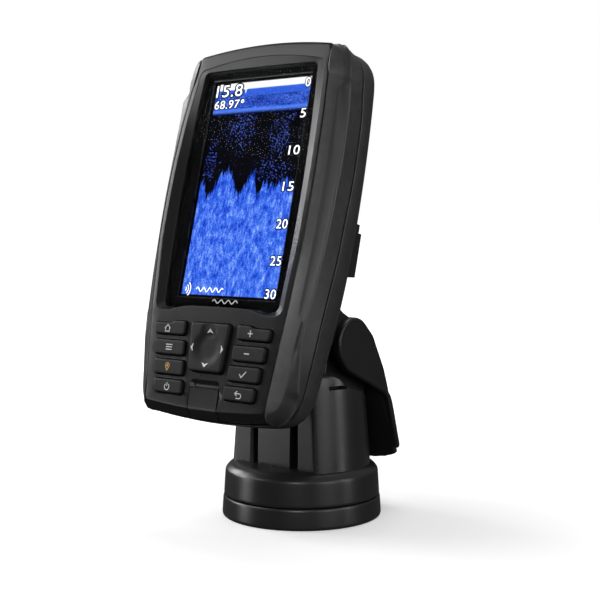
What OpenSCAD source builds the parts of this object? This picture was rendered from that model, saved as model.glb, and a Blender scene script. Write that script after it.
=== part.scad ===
// Fish finder on a tilt and swivel stand.
// Millimetres. The base stands on z = 0 round the z axis and the display faces -y.

/* [Head] */
// half width of the head at its widest
half_w = 49; // [46:0.5:52]
// top of the head above the centre of the display, along the display
head_top = 66; // [62:0.5:70]
// bottom of the head below the centre of the display
head_bottom = -102; // [-106:0.5:-98]
// radius of the bowed sides
side_r = 640; // [400:10:900]
// where the bowed sides are widest
side_v = -4; // [-20:1:10]
// radius of the arched top
top_r = 170; // [120:5:300]
// radius of the arched bottom
bottom_r = 300; // [200:5:500]
// lean of the display away from the viewer
lean = 14.48; // [5:0.1:25]
// distance of the display plane in front of the stand axis
head_y = -37.53; // [-45:0.1:-30]
// height of the centre of the display
head_z = 147.38; // [140:0.1:155]

/* [Screen] */
// lens half width at its top edge
lens_top_w = 31.3; // [29:0.1:34]
// lens half width at its bottom edge
lens_bottom_w = 32.6; // [30:0.1:35]
// top edge of the lens
lens_top = 51.6; // [49:0.1:54]
// bottom edge of the lens
lens_bottom = -53.5; // [-56:0.1:-50]

/* [Keypad] */
// distance a key is pressed
key_travel = 0.4; // [0.2:0.05:0.4]
// gap round a key in its opening
key_gap = 0.3; // [0.2:0.05:0.5]
// height of the key tops in front of the display plane
key_top = 7; // [6.2:0.1:7.5]
// centre of the direction pad
pad_v = -70.6; // [-72:0.1:-69]

/* [Stand] */
// radius of the base at the floor
base_r = 36.2; // [34:0.1:40]
// height of the fixed base plate
base_h = 9.4; // [8:0.1:12]
// height of the turning ring on top of it
ring_h = 19.5; // [17:0.1:22]
// top of the shoulder at the foot of the column
shoulder_h = 24.4; // [22:0.1:26]
// column radius at its foot
column_r = 31.3; // [28:0.1:33]
// column radius at its top
column_top_r = 28.2; // [26:0.1:30]
// front face of the column
column_front = 19.9; // [18:0.1:21]
// bolt circle of the base screws
base_pcd = 56; // [54:1:60]
// radius of the base screw holes
base_hole_r = 2.2; // [1.8:0.1:2.6]
// radius of the cable hole in the base
cable_r = 12; // [8:0.5:12]

/* [Tilt joint] */
// tilt axis behind the stand axis
pivot_y = 3.4; // [2:0.1:5]
// height of the tilt axis
pivot_z = 79; // [77:0.1:81]
// radius of the barrel on the column
barrel_r = 8.6; // [8:0.1:9]
// radius of the tilt axle
axle_r = 3; // [2.5:0.1:3.5]
// outside half width of the tilt arm
arm_w = 28; // [26:0.1:30]
// thickness of the arm walls
arm_t = 2.3; // [2:0.1:3]

/* [Hidden] */
$fn = 48;
fit = 0.05;
hair = 0.01;
frame_front = 4.2;
frame_crest = -3.4;
frame_back = -8.6;
wall_front = -2.4;
wall_back = -4.4;
gasket_gap = 1.2;
housing_front = frame_back - gasket_gap;
housing_back = -21.5;
fascia_front = 5.7;
fascia_back = -2.1;
fascia_in = 9;
seam_gap = 0.3;
lens_back = 1.6;
lens_front = 3.4;
board_front = -6.6;
board_back = -8.2;
key_rows = [[14.7, 32.8, -66.4, -60.5], [13.8, 31.8, -75, -68.6],
            [12.8, 30.5, -83.4, -77], [11.9, 29, -91.3, -85.4]];
pad_top_w = 11.4;
pad_bottom_w = 9.9;
pad_half = 10.35;
pad_front = 7.6;
pad_pivot_h = 1.6;
door_w = 8.3;
door_top = -87.4;
door_bottom = -99.2;
door_pin_v = -98;
door_pin_h = 2.6;
case_screws = [[41.2, 36], [42.4, -12], [38.6, -74]];
board_bosses = [[36.6, 49], [37, -12], [35.5, -84]];
tray_ears = [[34.6, 36], [34.6, -36]];
spigot_w = 22;
spigot_top = -14.8;
spigot_bottom = -34;
spigot_back = -29;
cradle_front = -22.2;
cradle_w = 36;
cradle_top = -10.9;
cradle_step = -30;
cradle_bottom = -66;
cradle_back = -38.2;
cradle_low_back = -36;
socket_x = 16;
socket_v = -21;
latch_x = 29;
latch_h = -31;
column_back = 24;
turn_r = 18.2;
arm_in = arm_w - 3.4;
barrel_w = arm_in - 1;
arm_r = 11.6;
shell_r = arm_r - arm_t;

// ---- outline of the head: bowed sides, arched ends, rounded corners ----
function bow(v) = pow(v - side_v, 2) / (2 * side_r);
function edge_x(v, ix) = half_w - ix - bow(v);
function top_at(x, it) = head_top - it - x * x / (2 * top_r);
function bottom_at(x, ib) = head_bottom + ib + x * x / (2 * bottom_r);
function blend(a, b, c, t) = a * (1 - t) * (1 - t) + b * 2 * t * (1 - t) + c * t * t;

function right_half(ix, it, ib, c) =
  let (xt = edge_x(head_top - it, ix) - c)
  let (xb = edge_x(head_bottom + ib, ix) - c)
  let (yt = top_at(xt + c, it) - c)
  let (yb = bottom_at(xb + c, ib) + c)
  let (ct = [edge_x(yt + c, ix), top_at(xt + c, it)])
  let (cb = [edge_x(yb - c, ix), bottom_at(xb + c, ib)])
  concat(
    [for (k = [0 : 4]) [xb * k / 4, bottom_at(xb * k / 4, ib)]],
    [for (k = [1 : 5]) blend([xb, bottom_at(xb, ib)], cb, [edge_x(yb, ix), yb], k / 6)],
    [for (k = [0 : 7]) [edge_x(yb + (yt - yb) * k / 7, ix), yb + (yt - yb) * k / 7]],
    [for (k = [1 : 5]) blend([edge_x(yt, ix), yt], ct, [xt, top_at(xt, it)], k / 6)],
    [for (k = [0 : 4]) [xt * (1 - k / 4), top_at(xt * (1 - k / 4), it)]]);

function outline(ix, it, ib, c) =
  let (r = right_half(ix, it, ib, c))
  concat(r, [for (k = [len(r) - 2 : -1 : 1]) [-r[k][0], r[k][1]]]);

module layer(h, ix, it, ib, c)
  translate([0, 0, h])
    linear_extrude(hair)
      polygon(outline(ix, it, ib, c));

module prism(h0, h1, ix, it, ib, c)
  translate([0, 0, h0])
    linear_extrude(h1 - h0)
      polygon(outline(ix, it, ib, c));

// x across, y up the display, z out of the display
module in_head()
  translate([0, head_y, head_z])
    rotate([90 - lean, 0, 0])
      children();

module block(x0, x1, y0, y1, z0, z1)
  translate([x0, y0, z0])
    cube([x1 - x0, y1 - y0, z1 - z0]);

module rod(x, y, z0, z1, r)
  translate([x, y, z0])
    cylinder(r = r, h = z1 - z0);

module rod_v(x, v0, v1, h, r)
  translate([x, v0, h])
    rotate([-90, 0, 0])
      cylinder(r = r, h = v1 - v0);

module rod_x(x0, x1, y, z, r)
  translate([x0, y, z])
    rotate([0, 90, 0])
      cylinder(r = r, h = x1 - x0);

module mirrored() {
  children();
  mirror([1, 0, 0]) children();
}

module across(x0, x1, pts)
  translate([x0, 0, 0])
    rotate([90, 0, 90])
      linear_extrude(x1 - x0)
        polygon(pts);

module screw(x, y, top, head_h, head_r, shaft_r, tip) {
  rod(x, y, top - head_h, top, head_r);
  rod(x, y, top - hair, tip, shaft_r);
}

// ---- stand ----
module base_plate()
  color("#242526")
    difference() {
      union() {
        cylinder(r1 = base_r - 0.5, r2 = base_r, h = 0.5, $fn = 96);
        translate([0, 0, 0.5])
          cylinder(r1 = base_r, r2 = base_r - 0.6, h = base_h - 1, $fn = 96);
        translate([0, 0, base_h - 0.5])
          cylinder(r1 = base_r - 0.6, r2 = base_r - 1, h = 0.5, $fn = 96);
      }
      rod(0, 0, -1, base_h + 1, turn_r + fit);
      rod(0, 0, -1, 3, 22);
      rod(0, 0, base_h - 0.6, base_h + 1, 22.6);
      for (a = [45 : 90 : 315])
        rotate([0, 0, a]) {
          rod(base_pcd / 2, 0, -1, base_h + 1, base_hole_r);
          rod(base_pcd / 2, 0, 4.6, base_h + 1, 4.4);
        }
    }

module swivel_washer()
  color("#d8d6cf")
    difference() {
      rod(0, 0, base_h - 0.6, base_h + 0.4, 22.3);
      rod(0, 0, base_h - 1, base_h + 1, 18.8);
    }

module column_solid() {
  intersection() {
    translate([0, 0, shoulder_h - 2.4])
      cylinder(r1 = column_r, r2 = column_top_r, h = 66 - shoulder_h + 2.4, $fn = 96);
    across(-40, 40, [[-column_front, 20], [column_back + 0.4, 20], [column_back, 50],
                     [column_back - 3.6, 66], [1 - column_front, 66]]);
  }
  across(-20, 20, [[-10, 58], [15, 58], [pivot_y + barrel_r - 0.4, pivot_z],
                   [pivot_y - barrel_r + 0.4, pivot_z]]);
  rod_x(-barrel_w, barrel_w, pivot_y, pivot_z, barrel_r);
  rotate_extrude($fn = 96)
    polygon([[cable_r, 2.9], [turn_r, 2.9], [turn_r, base_h + 0.4], [base_r - 0.9, base_h + 0.4],
             [base_r - 0.7, base_h + 0.8], [base_r - 1.4, ring_h - 0.4],
             [base_r - 1.8, ring_h], [base_r - 1.8, ring_h + 0.4], [base_r - 1.7, ring_h + 1.6],
             [base_r - 2.1, ring_h + 3], [base_r - 3, ring_h + 4.1],
             [base_r - 4.6, shoulder_h - 0.3], [column_r - 1.6, shoulder_h],
             [cable_r, shoulder_h]]);
}

module swivel_column()
  color("#232425")
    difference() {
      column_solid();
      // clearance for the side plates of the tilt arm
      for (s = [-1, 1])
        across(s > 0 ? 20 : -40, s > 0 ? 40 : -20,
               [[-11, 66.2], [-7.5, 64.2], [-4.2, 61], [0, 59.2], [8, 57.2], [16, 54.5],
                [32, 46], [32, 78 - barrel_r], [-11, 78 - barrel_r]]);
      // cable hole up into a trough that is open at the back
      rod(0, 0, 0, shoulder_h + 1, cable_r);
      block(-14, 14, -8, 30, shoulder_h - hair, 54);
      // front slots beside the centre panel
      mirrored()
        block(9.2, 12.8, -30, 7 - column_front, shoulder_h, 57);
      // step under the top edge
      mirrored()
        block(24, 34, -12.6, -3.4, 59.6, 61.2);
      rod_x(-60, 60, pivot_y, pivot_z, axle_r + fit);
      mirrored()
        rod_x(barrel_w - 6, 60, pivot_y, pivot_z, 5 + fit);
      // recess over the washer
      difference() {
        rod(0, 0, base_h + 0.3, base_h + 0.5, 22.6);
        rod(0, 0, base_h, base_h + 1, 18.5);
      }
      for (a = [0 : 90 : 270])
        rotate([0, 0, a])
          rod(15.2, 0, 1, 8, 1.25);
    }

module retainer_ring()
  color("#2c2d2f")
    difference() {
      rod(0, 0, 0.9, 2.8, 21.4);
      rod(0, 0, 0, 4, cable_r);
      for (a = [0 : 90 : 270])
        rotate([0, 0, a]) {
          rod(15.2, 0, 0, 4, 1.5);
          rod(15.2, 0, 0, 1.9, 2.6);
        }
    }

module retainer_screws()
  color("#9a9c9f")
    for (a = [0 : 90 : 270])
      rotate([0, 0, a]) {
        rod(15.2, 0, 0.5, 1.85, 2.4);
        rod(15.2, 0, 1.85 - hair, 7.5, 1.2);
      }

module tilt_bushes()
  color("#d8d6cf")
    mirrored()
      difference() {
        rod_x(barrel_w - 5.9, barrel_w, pivot_y, pivot_z, 5);
        rod_x(0, 60, pivot_y, pivot_z, axle_r + fit);
      }

module tilt_axle()
  color("#a9abad")
    rod_x(2 - arm_in - 4, arm_in + 2, pivot_y, pivot_z, axle_r);

// ---- tilt arm: side plates, back wall and the plate behind the cradle ----
function arc_pts(r, a0, a1, n) =
  [for (k = [0 : n]) let (a = a0 + (a1 - a0) * k / n) [pivot_y + r * cos(a), pivot_z + r * sin(a)]];

arm_back = [[19.1, 78.9], [25.7, 66.9], [29, 56.6], [33.8, 43.2], [38.6, 29.8], [38.9, 28.2],
            [38.2, 27.2], [36.6, 26.8]];
arm_inner = [[35.3, 27], [35.9, 30], [31.2, 44.2], [26.8, 55.8], [23.6, 66], [17.1, 77.7]];

module side_plate()
  across(arm_in, arm_w,
         concat(arc_pts(arm_r, 232, 34, 18), arm_back,
                [[35.9, 30], [31.1, 46.5], [29.6, 50.6], [27.8, 53.2], [26, 54.4],
                 [14.2, 60.3]]));

module tilt_arm()
  color("#26272a")
    difference() {
      union() {
        mirrored()
          side_plate();
        across(-arm_w + hair, arm_w - hair,
               concat(arc_pts(arm_r, 95, 34, 6), arm_back, arm_inner,
                      arc_pts(shell_r, 34, 95, 8)));
        // tongue of the back wall below the side plates
        across(-17, 17, [[35.3, 27], [36.2, 29.5], [38.6, 29.8], [40.2, 25.4], [39.4, 22],
                         [37.1, 21.6]]);
        // gusset to the cradle plate
        across(-arm_in - hair, arm_in + hair,
               concat([[-18.4, 76.6], [-11.6, 103.4], [-8.5, 102.6], [-6.5, 97], [-1, 92.8]],
                      arc_pts(arm_r, 86, 80, 1), arc_pts(shell_r, 84, 160, 8),
                      [[-9.6, 78.6], [-15.3, 75.8]]));
        // guide ribs for the cables
        mirrored()
          across(7.8, 9.2, [[36.4, 27], [27.4, 54], [24.6, 53.4], [33.4, 27]]);
      }
      mirrored()
        rod_x(arm_in - 1, arm_in + 2.2, pivot_y, pivot_z, axle_r + fit);
      in_head()
        for (x = [-15, 15], v = [-60, -42]) {
          rod(x, v, -60, -30, 1.6);
          rod(x, v, -60, -38.6, 3);
        }
    }

module friction_washers()
  color("#c9c4b8")
    mirrored()
      difference() {
        rod_x(barrel_w + 0.1, arm_in - 0.1, pivot_y, pivot_z, 8);
        rod_x(0, 60, pivot_y, pivot_z, axle_r + 0.2);
      }

// ---- cradle on the back of the head ----
module cradle()
  color("#27282a")
    in_head()
      difference() {
        union() {
          block(-cradle_w, cradle_w, cradle_step, cradle_top, cradle_back, cradle_front);
          block(-25, 25, cradle_bottom, cradle_step + 1, cradle_low_back, cradle_front);
        }
        block(-spigot_w - 0.4, spigot_w + 0.4, spigot_bottom - 0.4, spigot_top + 0.4,
              -30.4, 0);
        // hollow behind the lower plate
        block(-22, 22, cradle_bottom + 3, spigot_bottom - 3, -32.4, 0);
        // slot for the latch tongue
        block(-9.4, 9.4, -16, cradle_top + 1, -27.4, -24.2);
        for (s = [-1, 1])
          rod(s * socket_x, socket_v, cradle_back - 1, -31.6, 8.2);
        // plug seat between the sockets
        block(-6.6, 6.6, -31.4, -17, -34.6, -30);
        for (s = [-1, 1]) {
          rod_v(s * latch_x, cradle_step - 1, -16, latch_h, 3.2);
          rod_v(s * latch_x, -17, cradle_top + 1, latch_h, 1.6);
        }
        for (x = [-15, 15], v = [-60, -42])
          rod(x, v, -50, -30, 1.25);
      }

module cradle_screws()
  color("#9a9c9f")
    in_head()
      for (x = [-15, 15], v = [-60, -42]) {
        rod(x, v, -40.6, -38.65, 2.8);
        rod(x, v, -38.65 - hair, -32.8, 1.2);
      }

module round_socket(x)
  in_head() {
    difference() {
      rod(x, socket_v, cradle_back, -31.7, 8.1);
      rod(x, socket_v, cradle_back - 1, -35.1, 6.4);
      rod(x, socket_v, cradle_back, -32.9, 5.4);
    }
    for (a = [45 : 90 : 315])
      rod(x + 3 * cos(a), socket_v + 3 * sin(a), -35.2, -32.8, 0.6);
    block(x - 1, x + 1, socket_v + 4.4, socket_v + 5.6, -35.2, -32.8);
  }

module power_socket()
  color("#1d1e20")
    round_socket(-socket_x);

module transducer_socket()
  color("#1d1e20")
    round_socket(socket_x);

module cradle_plug()
  color("#1a1b1c")
    in_head() {
      block(-6.4, 6.4, -31.2, -17.2, -34.4, -28.2);
      for (x = [-3.9 : 2.6 : 3.9], v = [-27.5, -21])
        rod(x, v, -28.3, -24.4, 0.5);
    }

module release_latch()
  color("#303134")
    in_head()
      difference() {
        union() {
          block(-35.6, 35.6, -10.6, -7.2, -36.7, -24);
          block(-9, 9, -16.3, -10.5, -27, -24.5);
        }
        mirrored()
          rod_v(latch_x, -12, -7.9, latch_h, 1.45);
      }

module latch_screws()
  color("#9a9c9f")
    in_head()
      mirrored() {
        rod_v(latch_x, -27.6, -26.2, latch_h, 2.7);
        rod_v(latch_x, -26.2 - hair, -8.1, latch_h, 1.4);
      }

module latch_springs()
  color("#b4b6b8")
    in_head()
      for (s = [-1, 1])
        translate([s * latch_x, -25.7, latch_h])
          rotate([-90, 0, 0])
            linear_extrude(height = 9.2, twist = -360 * 4, slices = 40, $fn = 12)
              translate([2.2, 0])
                circle(r = 0.7, $fn = 4);

// ---- case of the head ----
module lens_shape(grow)
  polygon([[lens_top_w + grow, lens_top + grow], [lens_bottom_w + grow, lens_bottom - grow],
           [-lens_bottom_w - grow, lens_bottom - grow], [-lens_top_w - grow, lens_top + grow]]);

module key_shape(i, grow)
  polygon([[key_rows[i][0] - grow, key_rows[i][3] + grow],
           [key_rows[i][1] + grow, key_rows[i][3] + grow],
           [key_rows[i][1] - 0.4 + grow, key_rows[i][2] - grow],
           [key_rows[i][0] - 0.3 - grow, key_rows[i][2] - grow]]);

module pad_shape(grow)
  polygon([[2 - pad_top_w - grow, pad_v + pad_half + grow],
           [pad_top_w - 2 + grow, pad_v + pad_half + grow],
           [pad_top_w + grow, pad_v + pad_half - 2 + grow],
           [pad_bottom_w + grow, pad_v - pad_half + 2 - grow],
           [pad_bottom_w - 2 + grow, pad_v - pad_half - grow],
           [2 - pad_bottom_w - grow, pad_v - pad_half - grow],
           [-pad_bottom_w - grow, pad_v - pad_half + 2 - grow],
           [-pad_top_w - grow, pad_v + pad_half - 2 + grow]]);

module front_fascia()
  color("#2b2c2f")
    in_head()
      difference() {
        hull() {
          layer(fascia_front - hair, fascia_in + 0.2, 4.8, 5.4, 3);
          layer(2, fascia_in, 2.9, 2, 4);
          layer(fascia_back, fascia_in, 2.8, 1.8, 4);
        }
        // sloping recess round the lens
        hull() {
          translate([0, 0, fascia_front + 0.1])
            linear_extrude(hair)
              lens_shape(4.6);
          translate([0, 0, lens_front - 0.1])
            linear_extrude(hair)
              lens_shape(0.5);
        }
        translate([0, 0, 1.3])
          linear_extrude(4)
            lens_shape(0.3);
        block(-28, 28, -48.8, 48.8, -5, 5);
        // room for the display from behind
        block(-31.8, 31.8, -53.6, 55.4, -5, 0.6);
        block(-14, 14, -56.2, -50, -5, 0.6);
        // room for the keypad from behind
        block(-35, 35, -86.4, -58.4, -5, 3.2);
        block(-32, -10.4, -94, -86, -5, 3.2);
        block(10.4, 32, -94, -86, -5, 3.2);
        block(-8.6, 8.6, -102, -86.5, 0, 10);
        block(-8.6, 8.6, -97, -86, -5, 1);
        for (i = [0 : 3])
          mirrored()
            translate([0, 0, 2])
              linear_extrude(6)
                key_shape(i, key_gap);
        translate([0, 0, 2])
          linear_extrude(6)
            pad_shape(key_gap);
        // finger notch over the door
        block(-7, 7, -88, -84.4, 4.4, 8);
        rod_x(-9.9, 9.9, door_pin_v, door_pin_h, 0.7 + fit);
      }

module mid_frame()
  color("#2a2b2e")
    in_head()
      difference() {
        union() {
          difference() {
            hull() {
              layer(frame_front, 8.5, 6, 6, 8);
              layer(frame_crest, 0, 2, 1.4, 13);
              layer(frame_back, 0.1, 1.6, 1, 13);
            }
            prism(wall_front, 10, fascia_in - seam_gap, 2.5, 1.5, 4);
            prism(-12, wall_back, 2.7, 4.4, 3.9, 11);
          }
          for (p = case_screws)
            mirrored()
              rod(p[0], p[1], frame_back, wall_back + 0.5, 2.9);
          for (p = board_bosses)
            mirrored()
              rod(p[0], p[1], board_front, wall_back + 0.5, 2.3);
        }
        block(-33, 33, -56.4, 56.4, -6, 0);
        block(-7.4, 7.4, -86, -81.4, -6, 0);
        block(-8.8, 8.8, -96.6, -85.9, -6, 0);
        for (p = case_screws)
          mirrored()
            rod(p[0], p[1], -12, -3, 1.25);
        for (p = board_bosses)
          mirrored()
            rod(p[0], p[1], -12, -3.4, 1.05);
        for (p = tray_ears)
          mirrored()
            rod(p[0], p[1], -12, -2, 0.85);
      }

module rear_housing()
  color("#28292c")
    in_head()
      difference() {
        union() {
          difference() {
            hull() {
              layer(housing_front - hair, 0.3, 1.8, 1.2, 13);
              layer(-15, 0.7, 2.1, 1.6, 13);
              layer(-19.4, 2.8, 4, 3.6, 12);
              layer(housing_back, 7, 8, 7.6, 9);
            }
            prism(-17.5, -5, 3.9, 5.4, 5, 10);
            prism(-19.2, -5, 7.4, 9, 8.6, 8);
          }
          block(-spigot_w, spigot_w, spigot_bottom, spigot_top, spigot_back, housing_back + 1);
          for (p = case_screws)
            mirrored()
              rod(p[0], p[1], -20, housing_front - hair, 3.2);
        }
        block(-7.4, 7.4, -32, -16.4, -40, -12);
        block(-10, 10, -16.8, -14, -27.6, -24);
        for (p = case_screws)
          mirrored() {
            rod(p[0], p[1], -40, -5, 1.5);
            rod(p[0], p[1], -40, -13.4, 2.5);
          }
      }

module housing_gasket()
  color("#101112")
    in_head()
      difference() {
        prism(housing_front + 0.05, frame_back - 0.05, 1.4, 2.9, 2.4, 12);
        prism(-20, 0, 2.6, 4.2, 3.7, 11);
      }

module housing_screws()
  color("#9a9c9f")
    in_head()
      for (p = case_screws)
        mirrored() {
          rod(p[0], p[1], -15.2, -13.45, 2.3);
          rod(p[0], p[1], -13.45 - hair, -3.6, 1.2);
        }

// ---- display ----
module screen_lens()
  color("#0b0c0e")
    in_head()
      translate([0, 0, lens_back])
        linear_extrude(lens_front - lens_back)
          lens_shape(0);

module lens_adhesive()
  color("#111213")
    in_head()
      difference() {
        translate([0, 0, 1.35])
          linear_extrude(0.25)
            lens_shape(-0.5);
        block(-28.4, 28.4, -49.2, 49.2, 0, 3);
      }

module lcd_gasket()
  color("#18191a")
    in_head()
      difference() {
        block(-30.6, 30.6, -51.8, 51.8, 0.22, 0.58);
        block(-28.4, 28.4, -49.2, 49.2, 0, 1);
      }

module lcd_panel()
  color("#1c3f9e")
    in_head()
      block(-30.4, 30.4, -52, 52, -1.2, 0.2);

module backlight()
  color("#e8e8e2")
    in_head()
      block(-30.4, 30.4, -52, 54, -4.35, -1.25);

module lcd_tray()
  color("#8d9093")
    in_head()
      difference() {
        union() {
          block(-31.2, 31.2, -52.8, 54.8, -4.95, -0.4);
          for (p = tray_ears)
            block(-p[0] - 1.4, p[0] + 1.4, p[1] - 3, p[1] + 3, -4.95, -4.45);
        }
        block(-30.7, 30.7, -52.3, 54.3, -4.45, 1);
        block(-13, 13, -54, -51, -4.45, 1);
        for (p = tray_ears)
          mirrored()
            rod(p[0], p[1], -6, -3, 1);
      }

module tray_screws()
  color("#9a9c9f")
    in_head()
      for (p = tray_ears)
        mirrored() {
          rod(p[0], p[1], -6, -5, 1.6);
          rod(p[0], p[1], -5 - hair, -2.7, 0.8);
        }

module lcd_cable()
  color("#b8742c")
    in_head()
      across(-12, 12, [[-52.05, -0.9], [-55.2, -0.9], [-55.2, -6.55], [-54.9, -6.55],
                       [-54.9, -1.2], [-52.05, -1.2]]);

// ---- electronics ----
module main_board()
  color("#1f5a33")
    in_head()
      difference() {
        prism(board_back, board_front, 9.6, 11.6, 6.6, 7);
        for (p = board_bosses)
          mirrored()
            rod(p[0], p[1], -12, 0, 1.3);
        for (p = case_screws)
          mirrored()
            rod(p[0], p[1], -12, 0, 3.3);
      }

module board_screws()
  color("#9a9c9f")
    in_head()
      for (p = board_bosses)
        mirrored() {
          rod(p[0], p[1], -9.8, -8.25, 2);
          rod(p[0], p[1], -8.25 - hair, -4, 1);
        }

module shield_can()
  color("#a6a8aa")
    in_head()
      difference() {
        block(-16, 18, -8, 22, -11.4, board_back);
        block(-15.6, 17.6, -7.6, 21.6, -11, board_back + 1);
      }

module board_chips()
  color("#191a1b")
    in_head() {
      block(-8, 6, 0, 14, -10, board_back);
      block(10, 16, 4, 12, -9.8, board_back);
      block(-32, -22, -8, 2, -9.6, board_back);
      block(22, 30, 10, 20, -9.8, board_back);
      block(-30, -20, -40, -28, -10.4, board_back);
      rod(-27, 14, -16, board_back, 4);
      rod(-27, 24, -16, board_back, 4);
      block(-20, -12, -66, -58, -9.8, board_back);
    }

module sonar_transformer()
  color("#3a2a1c")
    in_head() {
      block(18, 32, -42, -28, -17.4, board_back);
      block(20, 30, -44, -26, -14, -10);
    }

module gps_antenna()
  color("#c9bfa6")
    in_head()
      block(-9, 9, 30, 48, -13, board_back);

module beeper()
  color("#151617")
    in_head()
      difference() {
        rod(22, -62, -14, board_back, 6);
        rod(22, -62, -15, -12, 1);
      }

module head_socket()
  color("#1a1b1c")
    in_head()
      difference() {
        block(-6.8, 6.8, -31.4, -17, -27.6, board_back);
        for (x = [-3.9 : 2.6 : 3.9], v = [-27.5, -21])
          rod(x, v, -30, -23, 0.6);
      }

module board_connector()
  color("#d9d4c4")
    in_head()
      block(-6, 6, -84.4, -82, board_front, -2.35);

// ---- keypad ----
module keypad_board()
  color("#1f5a33")
    in_head()
      difference() {
        union() {
          block(-34.4, 34.4, -85.6, -58.8, -2.35, -1.15);
          block(-31.4, -10.8, -93.4, -85.5, -2.35, -1.15);
          block(10.8, 31.4, -93.4, -85.5, -2.35, -1.15);
        }
        block(-1.6, 1.6, pad_v - 1.6, pad_v + 1.6, -3, 0);
      }

function key_mid(i) = [(key_rows[i][0] + key_rows[i][1]) / 2, (key_rows[i][2] + key_rows[i][3]) / 2];
pad_arms = [[8.3, 0], [-8.3, 0], [0, 8], [0, -8]];

module dome_switches()
  color("#c8c9c4")
    in_head() {
      for (i = [0 : 3])
        mirrored()
          rod(key_mid(i)[0], key_mid(i)[1], -1.15, -0.75, 2.4);
      for (p = pad_arms)
        rod(p[0], pad_v + p[1], -1.15, -0.75, 1.8);
    }

module keypad_mat()
  color("#3a3b3d")
    in_head()
      difference() {
        union() {
          block(-34.4, 34.4, -85.6, -58.8, 0, 1);
          block(-31.4, -10.8, -93.4, -85.5, 0, 1);
          block(10.8, 31.4, -93.4, -85.5, 0, 1);
          for (x = [-34, 34], v = [-85, -59.2])
            rod(x, v, -1.1, 3.1, 0.4);
        }
        for (i = [0 : 3])
          mirrored()
            rod(key_mid(i)[0], key_mid(i)[1], -2, 3, 2.3);
        for (p = pad_arms)
          rod(p[0], pad_v + p[1], -2, 3, 1.8);
        block(-5.6, 5.6, pad_v - 5.6, pad_v + 5.6, -1, 2);
      }

module key_cap(i, side)
  color("#333437")
    in_head()
      mirror([side < 0 ? 1 : 0, 0, 0]) {
        translate([0, 0, 2])
          linear_extrude(key_top - 2)
            key_shape(i, 0);
        translate([0, 0, 1.5])
          linear_extrude(1.2)
            key_shape(i, 0.75);
        rod(key_mid(i)[0], key_mid(i)[1], -0.2, 2, 2);
      }

module key_home() key_cap(0, -1);
module key_menu() key_cap(1, -1);
module key_mark() key_cap(2, -1);
module key_power() key_cap(3, -1);
module key_plus() key_cap(0, 1);
module key_minus() key_cap(1, 1);
module key_select() key_cap(2, 1);
module key_back() key_cap(3, 1);

module rocker_post()
  color("#b9babb")
    in_head()
      difference() {
        block(-1.4, 1.4, pad_v - 1.4, pad_v + 1.4, -2.3, 2.6);
        rod_x(-5, 5, pad_v, pad_pivot_h, 0.6 + fit);
      }

module rocker_hub()
  color("#c9cacb")
    in_head()
      union() {
        difference() {
          block(-4.4, 4.4, pad_v - 4.4, pad_v + 4.4, 0.7, 2.5);
          block(-2.6, 2.6, pad_v - 2.6, pad_v + 2.6, 0, 3);
          rod_v(0, pad_v - 6, pad_v + 6, pad_pivot_h, 0.6 + fit);
        }
        rod_x(-3.4, 3.4, pad_v, pad_pivot_h, 0.6);
      }

module rocker_pad()
  color("#333437")
    in_head()
      difference() {
        union() {
          translate([0, 0, 2])
            linear_extrude(pad_front - 2)
              pad_shape(0);
          translate([0, 0, 1.65])
            linear_extrude(0.8)
              pad_shape(0.75);
          for (p = pad_arms)
            rod(p[0], pad_v + p[1], -0.3, 2, 1.2);
        }
        difference() {
          block(-5.4, 5.4, pad_v - 5.4, pad_v + 5.4, -1, 3.6);
          rod_v(0, pad_v + 3, pad_v + 6, pad_pivot_h, 0.6);
          rod_v(0, pad_v - 6, pad_v - 3, pad_pivot_h, 0.6);
        }
      }

// ---- card slot ----
module card_socket()
  color("#8f9193")
    in_head()
      difference() {
        block(-7, 7, -95.6, -88.6, board_front, -0.2);
        block(-5.7, 5.7, -92.6, -91.4, -5.4, 1);
      }

module card_door()
  color("#2e2f32")
    in_head()
      difference() {
        union() {
          block(-door_w, door_w, door_bottom, door_top, 3.6, fascia_front);
          block(-door_w, door_w, door_pin_v - 1.1, door_pin_v + 1.1, door_pin_h, 4);
          rod_x(-door_w, door_w, door_pin_v, door_pin_h, 1.4);
          block(-4, 4, -89.2, -88.4, 1.8, 4);
        }
        rod_x(-20, 20, door_pin_v, door_pin_h, 0.7 + fit);
      }

module card_door_pin()
  color("#a9abad")
    in_head()
      rod_x(-9.8, 9.8, door_pin_v, door_pin_h, 0.7);

base_plate();
swivel_washer();
swivel_column();
retainer_ring();
retainer_screws();
tilt_bushes();
tilt_axle();
tilt_arm();
friction_washers();
cradle();
cradle_screws();
power_socket();
transducer_socket();
cradle_plug();
release_latch();
latch_screws();
latch_springs();
front_fascia();
mid_frame();
rear_housing();
housing_gasket();
housing_screws();
screen_lens();
lens_adhesive();
lcd_gasket();
lcd_panel();
backlight();
lcd_tray();
tray_screws();
lcd_cable();
main_board();
board_screws();
shield_can();
board_chips();
sonar_transformer();
gps_antenna();
beeper();
head_socket();
board_connector();
keypad_board();
dome_switches();
keypad_mat();
rocker_post();
rocker_hub();
rocker_pad();
card_socket();
card_door();
card_door_pin();
key_home();
key_menu();
key_mark();
key_power();
key_plus();
key_minus();
key_select();
key_back();
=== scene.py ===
"""Looks of the fish finder on its tilt and swivel stand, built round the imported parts.

Shapes are given in millimetres. Head pieces use the display's own axes: x across, v up the display,
h out of it. Stand pieces use the row's axes.
"""

import math

import bmesh
import bpy
from mathutils import Matrix, Vector
from mathutils.geometry import delaunay_2d_cdt


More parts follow.
